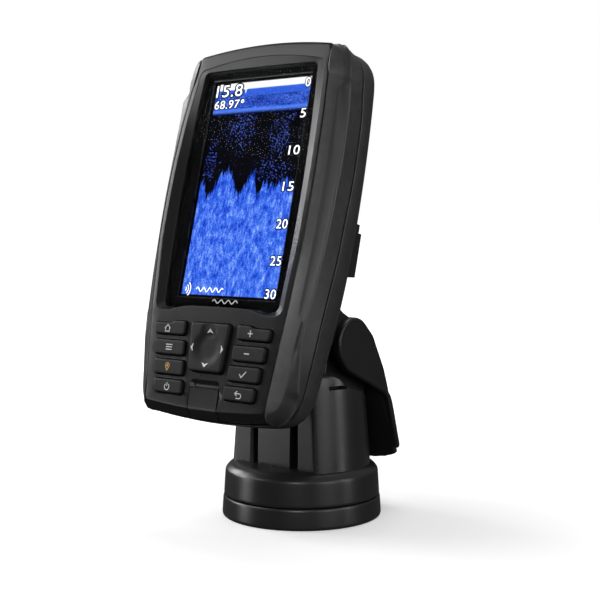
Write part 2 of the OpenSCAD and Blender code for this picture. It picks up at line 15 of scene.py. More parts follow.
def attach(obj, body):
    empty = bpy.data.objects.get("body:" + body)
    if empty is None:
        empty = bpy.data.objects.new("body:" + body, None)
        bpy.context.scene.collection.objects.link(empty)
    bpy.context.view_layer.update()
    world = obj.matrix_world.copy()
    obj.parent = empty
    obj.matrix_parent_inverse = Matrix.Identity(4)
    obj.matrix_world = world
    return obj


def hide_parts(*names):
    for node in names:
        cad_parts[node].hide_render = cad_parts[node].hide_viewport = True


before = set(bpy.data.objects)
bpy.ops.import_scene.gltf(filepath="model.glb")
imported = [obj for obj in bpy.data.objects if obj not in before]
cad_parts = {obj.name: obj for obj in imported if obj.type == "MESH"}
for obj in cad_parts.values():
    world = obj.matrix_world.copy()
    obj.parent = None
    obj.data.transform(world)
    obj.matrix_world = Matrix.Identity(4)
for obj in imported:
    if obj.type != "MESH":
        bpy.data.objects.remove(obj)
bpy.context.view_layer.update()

MM = 0.001
LEAN = math.radians(14.48)
HEAD = Matrix.Translation((0, -37.53, 147.38)) @ Matrix.Rotation(math.radians(90) - LEAN, 4, "X")
STAND = Matrix.Identity(4)
PIVOT_Y, PIVOT_Z = 3.4, 79.0
ALONG_X = Matrix.Rotation(math.radians(90), 4, "Y")
SIDES = ((1, "right"), (-1, "left"))


# ---------------------------------------------------------------- small maths
def table(x, rows):
    """Smooth value at x through sorted (x, y) rows."""
    if x <= rows[0][0]:
        return rows[0][1]
    for (x0, y0), (x1, y1) in zip(rows, rows[1:]):
        if x <= x1:
            t = (x - x0) / (x1 - x0)
            t = t * t * (3 - 2 * t)
            return y0 + (y1 - y0) * t
    return rows[-1][1]


def ramp(x, a, b):
    """0 before a, 1 after b, smooth between."""
    t = min(1.0, max(0.0, (x - a) / (b - a)))
    return t * t * (3 - 2 * t)


def spline(points, count, ends=True):
    """count points evenly spaced along a Catmull-Rom curve through points, with or without its ends."""
    pts = [Vector(p) for p in points]
    ext = [pts[0] * 2 - pts[1]] + pts + [pts[-1] * 2 - pts[-2]]
    dense = []
    for i in range(1, len(ext) - 2):
        a, b, c, d = ext[i - 1:i + 3]
        for k in range(16):
            t = k / 16
            dense.append(0.5 * ((2 * b) + (c - a) * t + (2 * a - 5 * b + 4 * c - d) * t * t
                                + (3 * b - a - 3 * c + d) * t * t * t))
    dense.append(pts[-1])
    return along(dense, count, ends)


def along(dense, count, ends=True):
    """count points evenly spaced along a polyline."""
    lengths = [0.0]
    for a, b in zip(dense, dense[1:]):
        lengths.append(lengths[-1] + (b - a).length)
    total = lengths[-1]
    wanted = [total * k / (count - 1) for k in range(count)] if ends else \
        [total * (k + 1) / (count + 1) for k in range(count)]
    out, j = [], 0
    for w in wanted:
        while j < len(lengths) - 2 and lengths[j + 1] < w:
            j += 1
        step = lengths[j + 1] - lengths[j]
        out.append(dense[j].lerp(dense[j + 1], (w - lengths[j]) / step if step > 1e-9 else 0))
    return out


def rounded(points, radii, step=2.5, arc=6):
    """Closed loop through 2-D points with rounded corners; long edges are split."""
    n = len(points)
    radii = radii if isinstance(radii, (list, tuple)) else [radii] * n
    loop = []
    for i in range(n):
        p = Vector(points[i]).to_2d()
        a = (Vector(points[i - 1]).to_2d() - p).normalized()
        b = (Vector(points[(i + 1) % n]).to_2d() - p).normalized()
        r = radii[i]
        half = math.acos(max(-1, min(1, a.dot(b)))) / 2
        if r <= 0 or abs(math.pi / 2 - half) < 0.01:
            loop.append(p)
            continue
        d = r / math.tan(half)
        start, end = p + a * d, p + b * d
        centre = p + (a + b).normalized() * (r / math.sin(half))
        a0 = math.atan2(*(start - centre).yx)
        a1 = math.atan2(*(end - centre).yx)
        turn = (a1 - a0 + math.pi) % (2 * math.pi) - math.pi
        loop += [centre + Vector((math.cos(a0 + turn * k / arc), math.sin(a0 + turn * k / arc))) * r
                 for k in range(arc + 1)]
    out = []
    for i, p in enumerate(loop):
        q = loop[(i + 1) % len(loop)]
        if (q - p).length < 1e-4:
            continue
        parts = max(1, math.ceil((q - p).length / step))
        out += [p.lerp(q, k / parts) for k in range(parts)]
    return out


def inset(loop, d):
    """A loop moved inwards by d (outwards if d is negative). The loop runs anticlockwise."""
    n, out = len(loop), []
    for i in range(n):
        p = loop[i]
        e1 = (p - loop[i - 1]).normalized()
        e2 = (loop[(i + 1) % n] - p).normalized()
        n1, n2 = Vector((-e1.y, e1.x)), Vector((-e2.y, e2.x))
        out.append(p + (n1 + n2) * (d / max(0.35, 1 + n1.dot(n2))))
    return out


def circle(x, y, r, n=32):
    return [Vector((x + r * math.cos(2 * math.pi * k / n), y + r * math.sin(2 * math.pi * k / n)))
            for k in range(n)]


def rectangle(x, y, r=0.0, step=60):
    """A rectangle round (0, 0) that reaches x and y, with corners rounded by r."""
    return rounded([(-x, -y), (x, -y), (x, y), (-x, y)], r, step=step)


def mirrored(half):
    """The whole loop of a symmetric shape, from its right half, given from bottom to top centre."""
    return half + [Vector((-p[0], *p[1:])) for p in half[-2:0:-1]]


def raised(loop, height):
    """3-D points of a loop at a height, which is a number or a function of (x, y)."""
    return [(p.x, p.y, height(p.x, p.y) if callable(height) else height) for p in loop]


def inside(p, loop):
    """Whether the point lies within the loop, from the edges crossed on the way out."""
    hit = False
    x, y = p
    for i in range(len(loop)):
        x0, y0 = loop[i - 1]
        x1, y1 = loop[i]
        if (y0 > y) != (y1 > y) and x < (x1 - x0) * (y - y0) / (y1 - y0) + x0:
            hit = not hit
    return hit


def in_area(p, loops):
    """Whether the point is inside the first loop and outside the others."""
    return inside(p, loops[0]) and not any(inside(p, hole) for hole in loops[1:])


def near(p, loop, gap):
    return any((q - p).length_squared < gap * gap for q in loop)


def grid_points(loops, taken, grid):
    """A staggered grid of points inside the first loop, outside the others and clear of those taken."""
    xs, ys = [p.x for p in loops[0]], [p.y for p in loops[0]]
    width, height = max(xs) - min(xs), max(ys) - min(ys)
    rows, columns = int(height / grid), int(width / grid)
    found = []
    for r in range(1, rows + 1):
        for c in range(columns + 1):
            p = Vector((min(xs) + (c + 0.5 * (r % 2)) * grid, min(ys) + r * height / (rows + 1)))
            if in_area(p, loops) and not near(p, taken, grid * 0.55):
                found.append(p)
    return found


# ---------------------------------------------------------------- mesh building
class Shell:
    """Points and faces of one piece, in millimetres."""

    def __init__(self):
        self.points, self.faces = [], []

    def add(self, ring):
        start = len(self.points)
        self.points += [Vector(p).to_3d() for p in ring]
        return list(range(start, len(self.points)))

    def bridge(self, a, b, flip=False):
        n = len(a)
        for i in range(n):
            j = (i + 1) % n
            quad = (a[i], a[j], b[j], b[i])
            self.faces.append(quad[::-1] if flip else quad)

    def loft(self, rings, flip=False, closed=False):
        rows = [self.add(r) for r in rings]
        for a, b in zip(rows, rows[1:]):
            self.bridge(a, b, flip)
        if closed:
            self.bridge(rows[-1], rows[0], flip)
        return rows

    def cap(self, outer, holes=(), height=None, grid=0.0, marks=(), down=False):
        """Triangulates the area inside the ring outer less the rings holes (lists of point numbers).
        height(x, y) lifts added grid points and the points of marks, which are 2-D loops."""
        numbers = [i for ring in (outer, *holes) for i in ring]
        loops = [[self.points[i].to_2d() for i in ring] for ring in (outer, *holes)]
        flat, edges = [], []
        for loop in loops + list(marks):
            start, n = len(flat), len(loop)
            edges += [(start + i, start + (i + 1) % n) for i in range(n)]
            flat += list(loop)
        extra = grid_points(loops, flat, grid) if grid else []
        for points in (*marks, extra):
            numbers += self.add(raised(points, height))
        verts, _, tris, origin, _, _ = delaunay_2d_cdt(flat + extra, edges, [], 0, 1e-5)
        for tri in tris:
            mid = (verts[tri[0]] + verts[tri[1]] + verts[tri[2]]) / 3
            if in_area(mid, loops):
                face = [numbers[origin[i][0]] for i in tri]
                self.faces.append(tuple(face[::-1] if down else face))

    def puck(self, loop, levels):
        """A closed solid: the loop at each (inset, height) level from the lowest up, with flat ends."""
        rows = self.loft([raised(inset(loop, d), h) for d, h in levels])
        self.cap(rows[0], down=True)
        self.cap(rows[-1])

    def turned(self, profile, steps=128, centre=(0, 0)):
        """A closed solid of revolution about a vertical line: (radius, height) points, anticlockwise."""
        rings = [[(centre[0] + r * math.cos(2 * math.pi * k / steps),
                   centre[1] + r * math.sin(2 * math.pi * k / steps), z) for k in range(steps)]
                 for r, z in profile]
        self.loft(rings, closed=True)

    def mesh(self, name, where):
        me = bpy.data.meshes.new(name)
        me.from_pydata([(where @ p) * MM for p in self.points], [], self.faces)
        me.validate()
        bm = bmesh.new()
        bm.from_mesh(me)
        bmesh.ops.remove_doubles(bm, verts=bm.verts, dist=1e-7)
        bmesh.ops.dissolve_degenerate(bm, edges=bm.edges, dist=1e-8)
        loose = [v for v in bm.verts if not v.link_faces]
        bmesh.ops.delete(bm, geom=loose, context="VERTS")
        bmesh.ops.recalc_face_normals(bm, faces=bm.faces)
        bm.to_mesh(me)
        bm.free()
        me.shade_smooth()
        return me


def piece(shell, name, where, material, body, replaces=(), sharp=32, weighted=True, bevel=0.0):
    """Makes an object of a shell or mesh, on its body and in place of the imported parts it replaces."""
    me = shell.mesh(name, where) if isinstance(shell, Shell) else shell
    obj = bpy.data.objects.new(name, me)
    bpy.context.scene.collection.objects.link(obj)
    me.materials.append(material)
    if bevel:
        mod = obj.modifiers.new("edges", "BEVEL")
        mod.width, mod.segments, mod.limit_method = bevel * MM, 3, "ANGLE"
        mod.angle_limit = math.radians(28)
        mod.harden_normals = False
    me.set_sharp_from_angle(angle=math.radians(sharp))
    if weighted:
        mod = obj.modifiers.new("shading", "WEIGHTED_NORMAL")
        mod.keep_sharp = True
    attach(obj, body)
    if replaces:
        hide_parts(*replaces)
    return obj


def cut(obj, *cutters):
    """Cuts closed shells out of a piece and keeps the result as its mesh."""
    for cutter in cutters:
        other = bpy.data.objects.new("cutter", cutter)
        bpy.context.scene.collection.objects.link(other)
        mod = obj.modifiers.new("cut", "BOOLEAN")
        mod.operation, mod.solver, mod.object = "DIFFERENCE", "EXACT", other
        with bpy.context.temp_override(object=obj, active_object=obj):
            while obj.modifiers[0] != mod:
                bpy.ops.object.modifier_move_up(modifier=mod.name)
            bpy.ops.object.modifier_apply(modifier=mod.name)
        bpy.data.objects.remove(other)
    obj.data.set_sharp_from_angle(angle=math.radians(32))


def block(x0, x1, y0, y1, z0, z1, where, r=0.0):
    """A box as a mesh, with its upright edges rounded by r."""
    s = Shell()
    s.puck(rounded([(x0, y0), (x1, y0), (x1, y1), (x0, y1)], r, step=60), [(0, z0), (0, z1)])
    return s.mesh("block", where)


# ---------------------------------------------------------------- materials
class Signal:
    """A value worked out by shader nodes, so that a material can be written as a sum."""

    def __init__(self, tree, socket):
        self.tree, self.socket = tree, socket

    def __add__(self, other):
        return maths("ADD", self, other)

    def __sub__(self, other):
        return maths("SUBTRACT", self, other)

    def __rsub__(self, other):
        return maths("SUBTRACT", other, self)

    def __mul__(self, other):
        return maths("MULTIPLY", self, other)

    def __truediv__(self, other):
        return maths("DIVIDE", self, other)

    def clamped(self):
        return maths("ADD", self, 0.0, clamp=True)


def feed(socket, value):
    """Links a signal to a socket, or sets the socket to a number or an (r, g, b) colour."""
    if isinstance(value, Signal):
        value.tree.links.new(value.socket, socket)
    else:
        socket.default_value = (*value, 1) if isinstance(value, tuple) else value


def set_up(n, **values):
    """Sets a node's settings and inputs; an underscore in an input's name stands for a space."""
    for key, value in values.items():
        if hasattr(n, key):
            setattr(n, key, value)
        else:
            feed(n.inputs[key.replace("_", " ")], value)
    return n


def node(tree, kind, output=0, **values):
    """Adds a shader node and gives one of its outputs as a signal."""
    return Signal(tree, set_up(tree.nodes.new(kind), **values).outputs[output])


def maths(kind, a, b, clamp=False):
    """A signal worked out from two values, at least one of which is a signal."""
    tree = (a if isinstance(a, Signal) else b).tree
    n = set_up(tree.nodes.new("ShaderNodeMath"), operation=kind, use_clamp=clamp)
    feed(n.inputs[0], a)
    feed(n.inputs[1], b)
    return Signal(tree, n.outputs[0])


def object_place(tree):
    return node(tree, "ShaderNodeTexCoord", "Object")


def noise(tree, scale, detail=3.0, rough=0.55, place=None):
    """Noise in the object's own space, or at the signal place."""
    return node(tree, "ShaderNodeTexNoise", "Fac", Vector=place or object_place(tree),
                Scale=scale, Detail=detail, Roughness=rough)


def color_ramp(value, stops, smooth=False):
    """Colour at value, between (place, colour or grey) stops."""
    n = value.tree.nodes.new("ShaderNodeValToRGB")
    n.color_ramp.interpolation = "EASE" if smooth else "LINEAR"
    while len(n.color_ramp.elements) < len(stops):
        n.color_ramp.elements.new(0.5)
    for element, (place, tone) in zip(n.color_ramp.elements, stops):
        element.position = place
        element.color = (*tone, 1) if isinstance(tone, tuple) else (tone, tone, tone, 1)
    feed(n.inputs["Fac"], value)
    return Signal(value.tree, n.outputs["Color"])


def new_material(name):
    mat = bpy.data.materials.new(name)
    mat.use_nodes = True
    return mat, mat.node_tree, mat.node_tree.nodes["Principled BSDF"]


def moulded(name, color, rough, grain=2600.0, depth=0.02, spec=0.5, edge_wear_and_highlight=0.35):
    """Moulded plastic: spark-eroded grain, faint mottling, and convex edges lighter and smoother, partly
    rubbed wear and partly a painted highlight.
    """
    mat, tree, bsdf = new_material(name)
    broad, smear, fine = noise(tree, 45.0, 4.0), noise(tree, 260.0), noise(tree, grain, 2.0, 0.6)
    cells = node(tree, "ShaderNodeTexVoronoi", "Distance", Vector=object_place(tree), Scale=grain * 0.55)
    # convex edges found by pointiness are lightened in the colour: partly rubbed wear, partly a painted
    # highlight
    edge = color_ramp(node(tree, "ShaderNodeNewGeometry", "Pointiness"), [(0.5, 0.0), (0.56, 1.0)])
    shade = broad * 0.24 + 0.88 + fine * 0.12 + edge * (smear * (edge_wear_and_highlight * 2))
    tint = node(tree, "ShaderNodeMix", "Result", data_type="RGBA", blend_type="MULTIPLY",
                Factor=1, A=color, B=shade)
    gloss = broad * 0.12 + smear * 0.08 - edge * 0.06 + (rough - 0.10)
    bump = node(tree, "ShaderNodeBump", "Normal", Strength=0.35, Distance=depth * MM,
                Height=fine + cells * 0.6)
    set_up(bsdf, Base_Color=tint, Roughness=gloss.clamped(), Normal=bump, Specular_IOR_Level=spec)
    return mat


def wavering(name, grain, rough, stops=(), glow=0.0, **values):
    """A smooth material: one noise of (scale, detail) moves its roughness over (least, range) and its
    colour between the stops. Without stops it is clear."""
    mat, tree, bsdf = new_material(name)
    n = noise(tree, *grain)
    tint = color_ramp(n, stops) if stops else (1.0, 1.0, 1.0)
    least, reach = rough
    set_up(bsdf, Base_Color=tint, Roughness=n * reach + least, **values)
    if glow:
        set_up(bsdf, Emission_Color=tint, Emission_Strength=glow)
    return mat


def dimmed(color, share):
    return tuple(c * share for c in color)


def metal(name, color, rough):
    """Bare metal with a fine brushed grain."""
    return wavering(name, (900.0, 3.0), (rough - 0.1, 0.2), [(0.3, dimmed(color, 0.8)), (0.7, color)],
                    Metallic=1.0)


def paint(name, color, rough=0.5, glow=0.0):
    """Printed or painted mark with a faintly uneven ink film."""
    return wavering(name, (1800.0, 3.0), (rough - 0.07, 0.15), [(0.25, dimmed(color, 0.78)), (0.6, color)],
                    glow)


def sonar_picture():
    """The lit panel: surface clutter, open water with a few echoes, and weed from the middle down."""
    mat, tree, bsdf = new_material("sonar_picture")
    uv = node(tree, "ShaderNodeTexCoord", "UV")
    across, up = (node(tree, "ShaderNodeSeparateXYZ", axis, Vector=uv) for axis in "XY")
    down = 1.0 - up

    def stretched(sx, sy, seed):
        """Place on the panel, stretched; the seed sets one pattern apart from the others."""
        return node(tree, "ShaderNodeCombineXYZ", X=across * sx, Y=up * sy, Z=seed)

    def mix(fac, a, b):
        return node(tree, "ShaderNodeMix", "Result", data_type="RGBA", Factor=fac, A=a, B=b)

    def above(value, edge, soft):
        """0 below the edge, 1 above it, over a width of soft."""
        return ((value - edge) / soft).clamped()

    def patch(cx, cy, rx, ry):
        """1 at the middle of an oval, falling to 0 round it."""
        dx, dy = (across - cx) / rx, (down - cy) / ry
        return (1.0 - (dx * dx + dy * dy) * 0.55).clamped()

    # jagged top of the weed, from a few heights across the picture and two widths of spikes
    tops = color_ramp(across, [
        (0.0, 0.47), (0.03, 0.475), (0.09, 0.545), (0.17, 0.475), (0.25, 0.41), (0.35, 0.445),
        (0.42, 0.54), (0.50, 0.49), (0.57, 0.42), (0.63, 0.54), (0.71, 0.475), (0.80, 0.505),
        (0.90, 0.47), (1.0, 0.485)])
    spikes = noise(tree, 1.0, 3.0, 0.7, stretched(26, 1.2, 3.0))
    needles = noise(tree, 1.0, 2.0, 0.7, stretched(75, 3.0, 9.0))
    edge = tops + (spikes - 0.5) * 0.10 + (needles - 0.5) * 0.13
    weed = above(down, edge, 0.008)

    # the weed's own texture, darker near its tips
    coarse = noise(tree, 1.0, 3.0, 0.6, stretched(14, 17, 1.0))
    streak = noise(tree, 1.0, 3.0, 0.7, stretched(42, 26, 5.0))
    grit = noise(tree, 1.0, 2.0, 0.7, stretched(95, 150, 7.0))
    tips = 1.0 - above(down, edge, 0.09)
    weed_color = color_ramp(coarse * 0.42 + streak * 0.42 + grit * 0.36 - tips * 0.06, [
        (0.42, (0.004, 0.015, 0.22)), (0.49, (0.009, 0.045, 0.50)), (0.56, (0.024, 0.105, 0.78)),
        (0.63, (0.075, 0.21, 0.92)), (0.70, (0.25, 0.42, 1.0)), (0.79, (0.65, 0.78, 1.0))])

    # open water: black with blue echoes gathered in a few places
    echo = node(tree, "ShaderNodeTexVoronoi", "Distance", Vector=stretched(70, 110, 2.0), Scale=1.0)
    chance = noise(tree, 1.0, 1.0, place=stretched(55, 88, 4.0))
    where = patch(0.35, 0.22, 0.15, 0.10)
    for spot in ((0.77, 0.27, 0.10, 0.11), (0.07, 0.37, 0.06, 0.11), (0.74, 0.42, 0.18, 0.05),
                 (0.86, 0.17, 0.05, 0.04)):
        where = maths("MAXIMUM", where, patch(*spot))
    echoes = maths("LESS_THAN", echo, 0.30) * maths("GREATER_THAN", chance + where * 0.30, 0.68)
    water = mix(echoes, (0.0012, 0.0013, 0.002), (0.06, 0.13, 0.75))

    # clutter under the surface line
    fleck = noise(tree, 1.0, 2.0, 0.75, stretched(62, 120, 11.0))
    bank = noise(tree, 1.0, 2.0, place=stretched(5, 26, 12.0))
    clutter = color_ramp(fleck * 0.75 + bank * 0.3, [
        (0.40, (0.004, 0.012, 0.14)), (0.48, (0.012, 0.045, 0.40)), (0.56, (0.025, 0.09, 0.60)),
        (0.68, (0.12, 0.28, 0.95))])

    # bands from the top edge down, each starting at a share of the panel's height
    line = mix(above(down, 0.136, 0.012), (0.07, 0.20, 0.88), (0.004, 0.008, 0.07))
    band = mix(above(down, 0.060, 0.01), (0.03, 0.12, 0.72), clutter)
    band = mix(above(down, 0.122, 0.006), band, line)
    top = mix(above(down, 0.030, 0.004), (0.97, 0.98, 1.0), band)
    picture = mix(above(down, 0.150, 0.004), top, mix(weed, water, weed_color))
    set_up(bsdf, Emission_Color=picture, Emission_Strength=1.0, Base_Color=(0.002, 0.002, 0.003),
           Roughness=0.25, Specular_IOR_Level=0.0)
    return mat


FASCIA = moulded("fascia_plastic", (0.0095, 0.0098, 0.0102), 0.33, grain=3000, depth=0.012, spec=0.30)
# the case's edges are lightened strongly: a painted highlight along the frame's crests as well as wear
CASE = moulded("case_plastic", (0.0175, 0.0178, 0.0182), 0.42, grain=2200, spec=0.6, edge_wear_and_highlight=2.0)
STAND_PLASTIC = moulded("stand_plastic", (0.0125, 0.0126, 0.013), 0.34, grain=2000, depth=0.006, spec=0.62)
ARM_PLASTIC = moulded("arm_plastic", (0.011, 0.0112, 0.0116), 0.38, grain=2000)
RUBBER = moulded("key_rubber", (0.0075, 0.0078, 0.0081), 0.55, grain=1500, depth=0.03, edge_wear_and_highlight=0.2, spec=0.25)
SEAL = moulded("seal_rubber", (0.006, 0.006, 0.0065), 0.8, grain=1500, edge_wear_and_highlight=0.0)
DARK = moulded("inner_plastic", (0.012, 0.012, 0.013), 0.6, edge_wear_and_highlight=0.1)
BOARD = moulded("board_lacquer", (0.01, 0.09, 0.035), 0.35, grain=900, edge_wear_and_highlight=0.2)
PALE = moulded("pale_plastic", (0.6, 0.58, 0.52), 0.45, edge_wear_and_highlight=0.1)
FERRITE = moulded("wound_ferrite", (0.05, 0.035, 0.025), 0.6, edge_wear_and_highlight=0.1)
CERAMIC = moulded("fired_ceramic", (0.55, 0.5, 0.4), 0.5, edge_wear_and_highlight=0.1)
STEEL = metal("steel", (0.55, 0.56, 0.57), 0.35)
TIN = metal("tinned_sheet", (0.62, 0.63, 0.62), 0.45)
COPPER = metal("cable_foil", (0.6, 0.3, 0.12), 0.4)
LEGEND = paint("legend_ink", (0.82, 0.84, 0.86))
AMBER = paint("legend_amber", (0.85, 0.47, 0.10))
WHITE = paint("numeral_white", (0.95, 0.96, 1.0), 0.6, glow=0.9)
PRINT = wavering("lens_print", (700.0, 2.0), (0.5, 0.08),
                 [(0.3, (0.0035, 0.0036, 0.0042)), (0.7, (0.0055, 0.0056, 0.0062))], Specular_IOR_Level=0.0)
GLASS = wavering("lens_glass", (120.0, 4.0), (0.02, 0.04), IOR=1.04, Transmission_Weight=1.0)
PICTURE = sonar_picture()
PICTURE_W, PICTURE_H = 53.86, 95.04


# ---------------------------------------------------------------- outline of the head
def edge_x(v, ix=0.0):
    """Half the head's width at v, less an inset; the two arches below are its top and bottom edges."""
    return 49 - ix - (v + 4) ** 2 / 1280


def top_at(x, it):
    return 66 - it - x * x / 470


def bottom_at(x, ib):
    return -102 + ib + x * x / 600


def face_h(v):
    """Height of the fascia's face."""
    return 6 - (v + 20) ** 2 / (2400 if v > -20 else 3200)


def under_face(drop):
    """Height function of v for a ring: drop below the fascia's face."""
    return lambda v: face_h(v) - drop


def on_face(rise):
    """Height function of (x, v): rise above the fascia's face."""
    return lambda x, v: face_h(v) + rise


def level(h, v):
    return h(v) if callable(h) else h


def head_ring(side, top, bottom, upper, lower, span, arch_x, corner=16):
    """One ring round the head, anticlockwise from the bottom centre. side(v) gives (inset, h); top and
    bottom are (inset, h); upper and lower are corner points between the sides and the arches."""
    (it, ht), (ib, hb) = top, bottom
    x0, x1 = arch_x
    arch = 10

    def at(v):
        i, h = side(v)
        return Vector((edge_x(v, i), v, h))

    def low(x):
        return Vector((x, bottom_at(x, ib), level(hb, bottom_at(x, ib))))

    def high(x):
        return Vector((x, top_at(x, it), level(ht, top_at(x, it))))

    right = [low(x0 * k / arch) for k in range(arch + 1)]
    right += spline([right[-1]] + lower + [at(span[0])], corner, ends=False)
    right += [at(v) for v in span]
    right += spline([right[-1]] + upper + [high(x1)], corner, ends=False)
    right += [high(x1 * (1 - k / arch)) for k in range(arch + 1)]
    return mirrored(right)


def corner_points(a, c, b):
    """Points on the curve that leaves a towards c and arrives at b."""
    a, b, c = Vector(a), Vector(b), Vector(c)
    shares = [k / 6 for k in range(1, 6)]
    return [a * (1 - t) ** 2 + c * 2 * t * (1 - t) + b * t * t for t in shares]


def plain_ring(ix, it, ib, side_h, top_h, bottom_h, span, c):
    """A ring whose corners are rounded by c, with its own heights at the side, top and bottom."""
    v0, v1 = span[0], span[-1]
    h0, h1 = level(side_h, v0), level(side_h, v1)
    yt, yb = top_at(edge_x(60, ix), it), bottom_at(edge_x(-97, ix), ib)
    xt, xb = edge_x(yt, ix) - c, edge_x(yb, ix) - c
    up = corner_points((edge_x(v1, ix), v1, h1), (edge_x(yt, ix), yt, (h1 + top_h) / 2),
                       (xt, top_at(xt, it), top_h))
    low = corner_points((xb, bottom_at(xb, ib), bottom_h), (edge_x(yb, ix), yb, (h0 + bottom_h) / 2),
                        (edge_x(v0, ix), v0, h0))
    return head_ring(lambda v: (ix, level(side_h, v)), (it, top_h), (ib, bottom_h), up, low, span, (xb, xt))


# heights of the side points of every ring: every 5 mm, and every 1 mm at the ends of the finger grip
SPAN = sorted({*range(-84, 47, 5), *range(-58, -50), *range(40, 47)})


def groove_h(v):
    """Height of the dark groove between the frame and the rear shell, at the side."""
    return table(v, [(-92, -7.4), (-60, -7.3), (-20, -9.2), (12, -10.6), (30, -10.7), (45, -9.5), (58, -8.0)])


def groove_ring(ix, it, ib, lift, corner=13):
    """A ring that follows the groove, lift above its middle."""
    return plain_ring(ix, it, ib, lambda v: groove_h(v) + lift, -8.0 + lift, -7.4 + lift, SPAN, corner)


def grip(v):
    """1 along the finger grip at the side of the case, 0 above and below it."""
    return ramp(v, -57, -53) * (1 - ramp(v, 41.3, 44.7))


def crest_inset(v):
    """How far the crest of the frame's side lies inside the head's edge."""
    return 3.35 + 0.45 * (1 - ramp(v, -70, -56)) * ramp(v, -84, -70) + 1.35 * grip(v)


def crest_h(v):
    return face_h(v) - 0.2 - 0.6 * (8.6 - crest_inset(v))


def wall_h(v):
    """Height of the foot of the facet between the crest and the outermost line of the side."""
    return table(v, [(-92, -3.7), (-84, -3.0), (-75, -1.2), (-66, 0.2), (-56, 0.25), (-44, -0.2), (-24, -0.7),
                     (-7, -1.1), (15, -1.6), (30, -1.5), (42, -0.8), (50, 0.0)])


def wall_shift(v):
    return -0.45 + 1.25 * ramp(v, 41, 46)


def wall_in(v):
    """Extra inset of that foot."""
    return table(v, [(-84, 0.0), (-75, 0.9), (-66, 1.8), (-56, 1.8), (-44, 1.4), (-24, 1.0), (-7, 0.6),
                     (15, 0.25), (30, 0)])


def seam_out(v):
    """How far the seam between fascia and frame bows outwards."""
    return table(v, [(-68, 0.0), (-44, 0.6), (-22, 1.25), (0, 1.15), (28, 0.85), (44, 0.4), (52, 0.0)])


def moved(points, x, v, h):
    return [(p[0] + x, p[1] + v, p[2] + h) for p in points]


CASE_SCREWS = [(sx * x, v) for x, v in ((41.2, 36), (42.4, -12), (38.6, -74)) for sx in (-1, 1)]


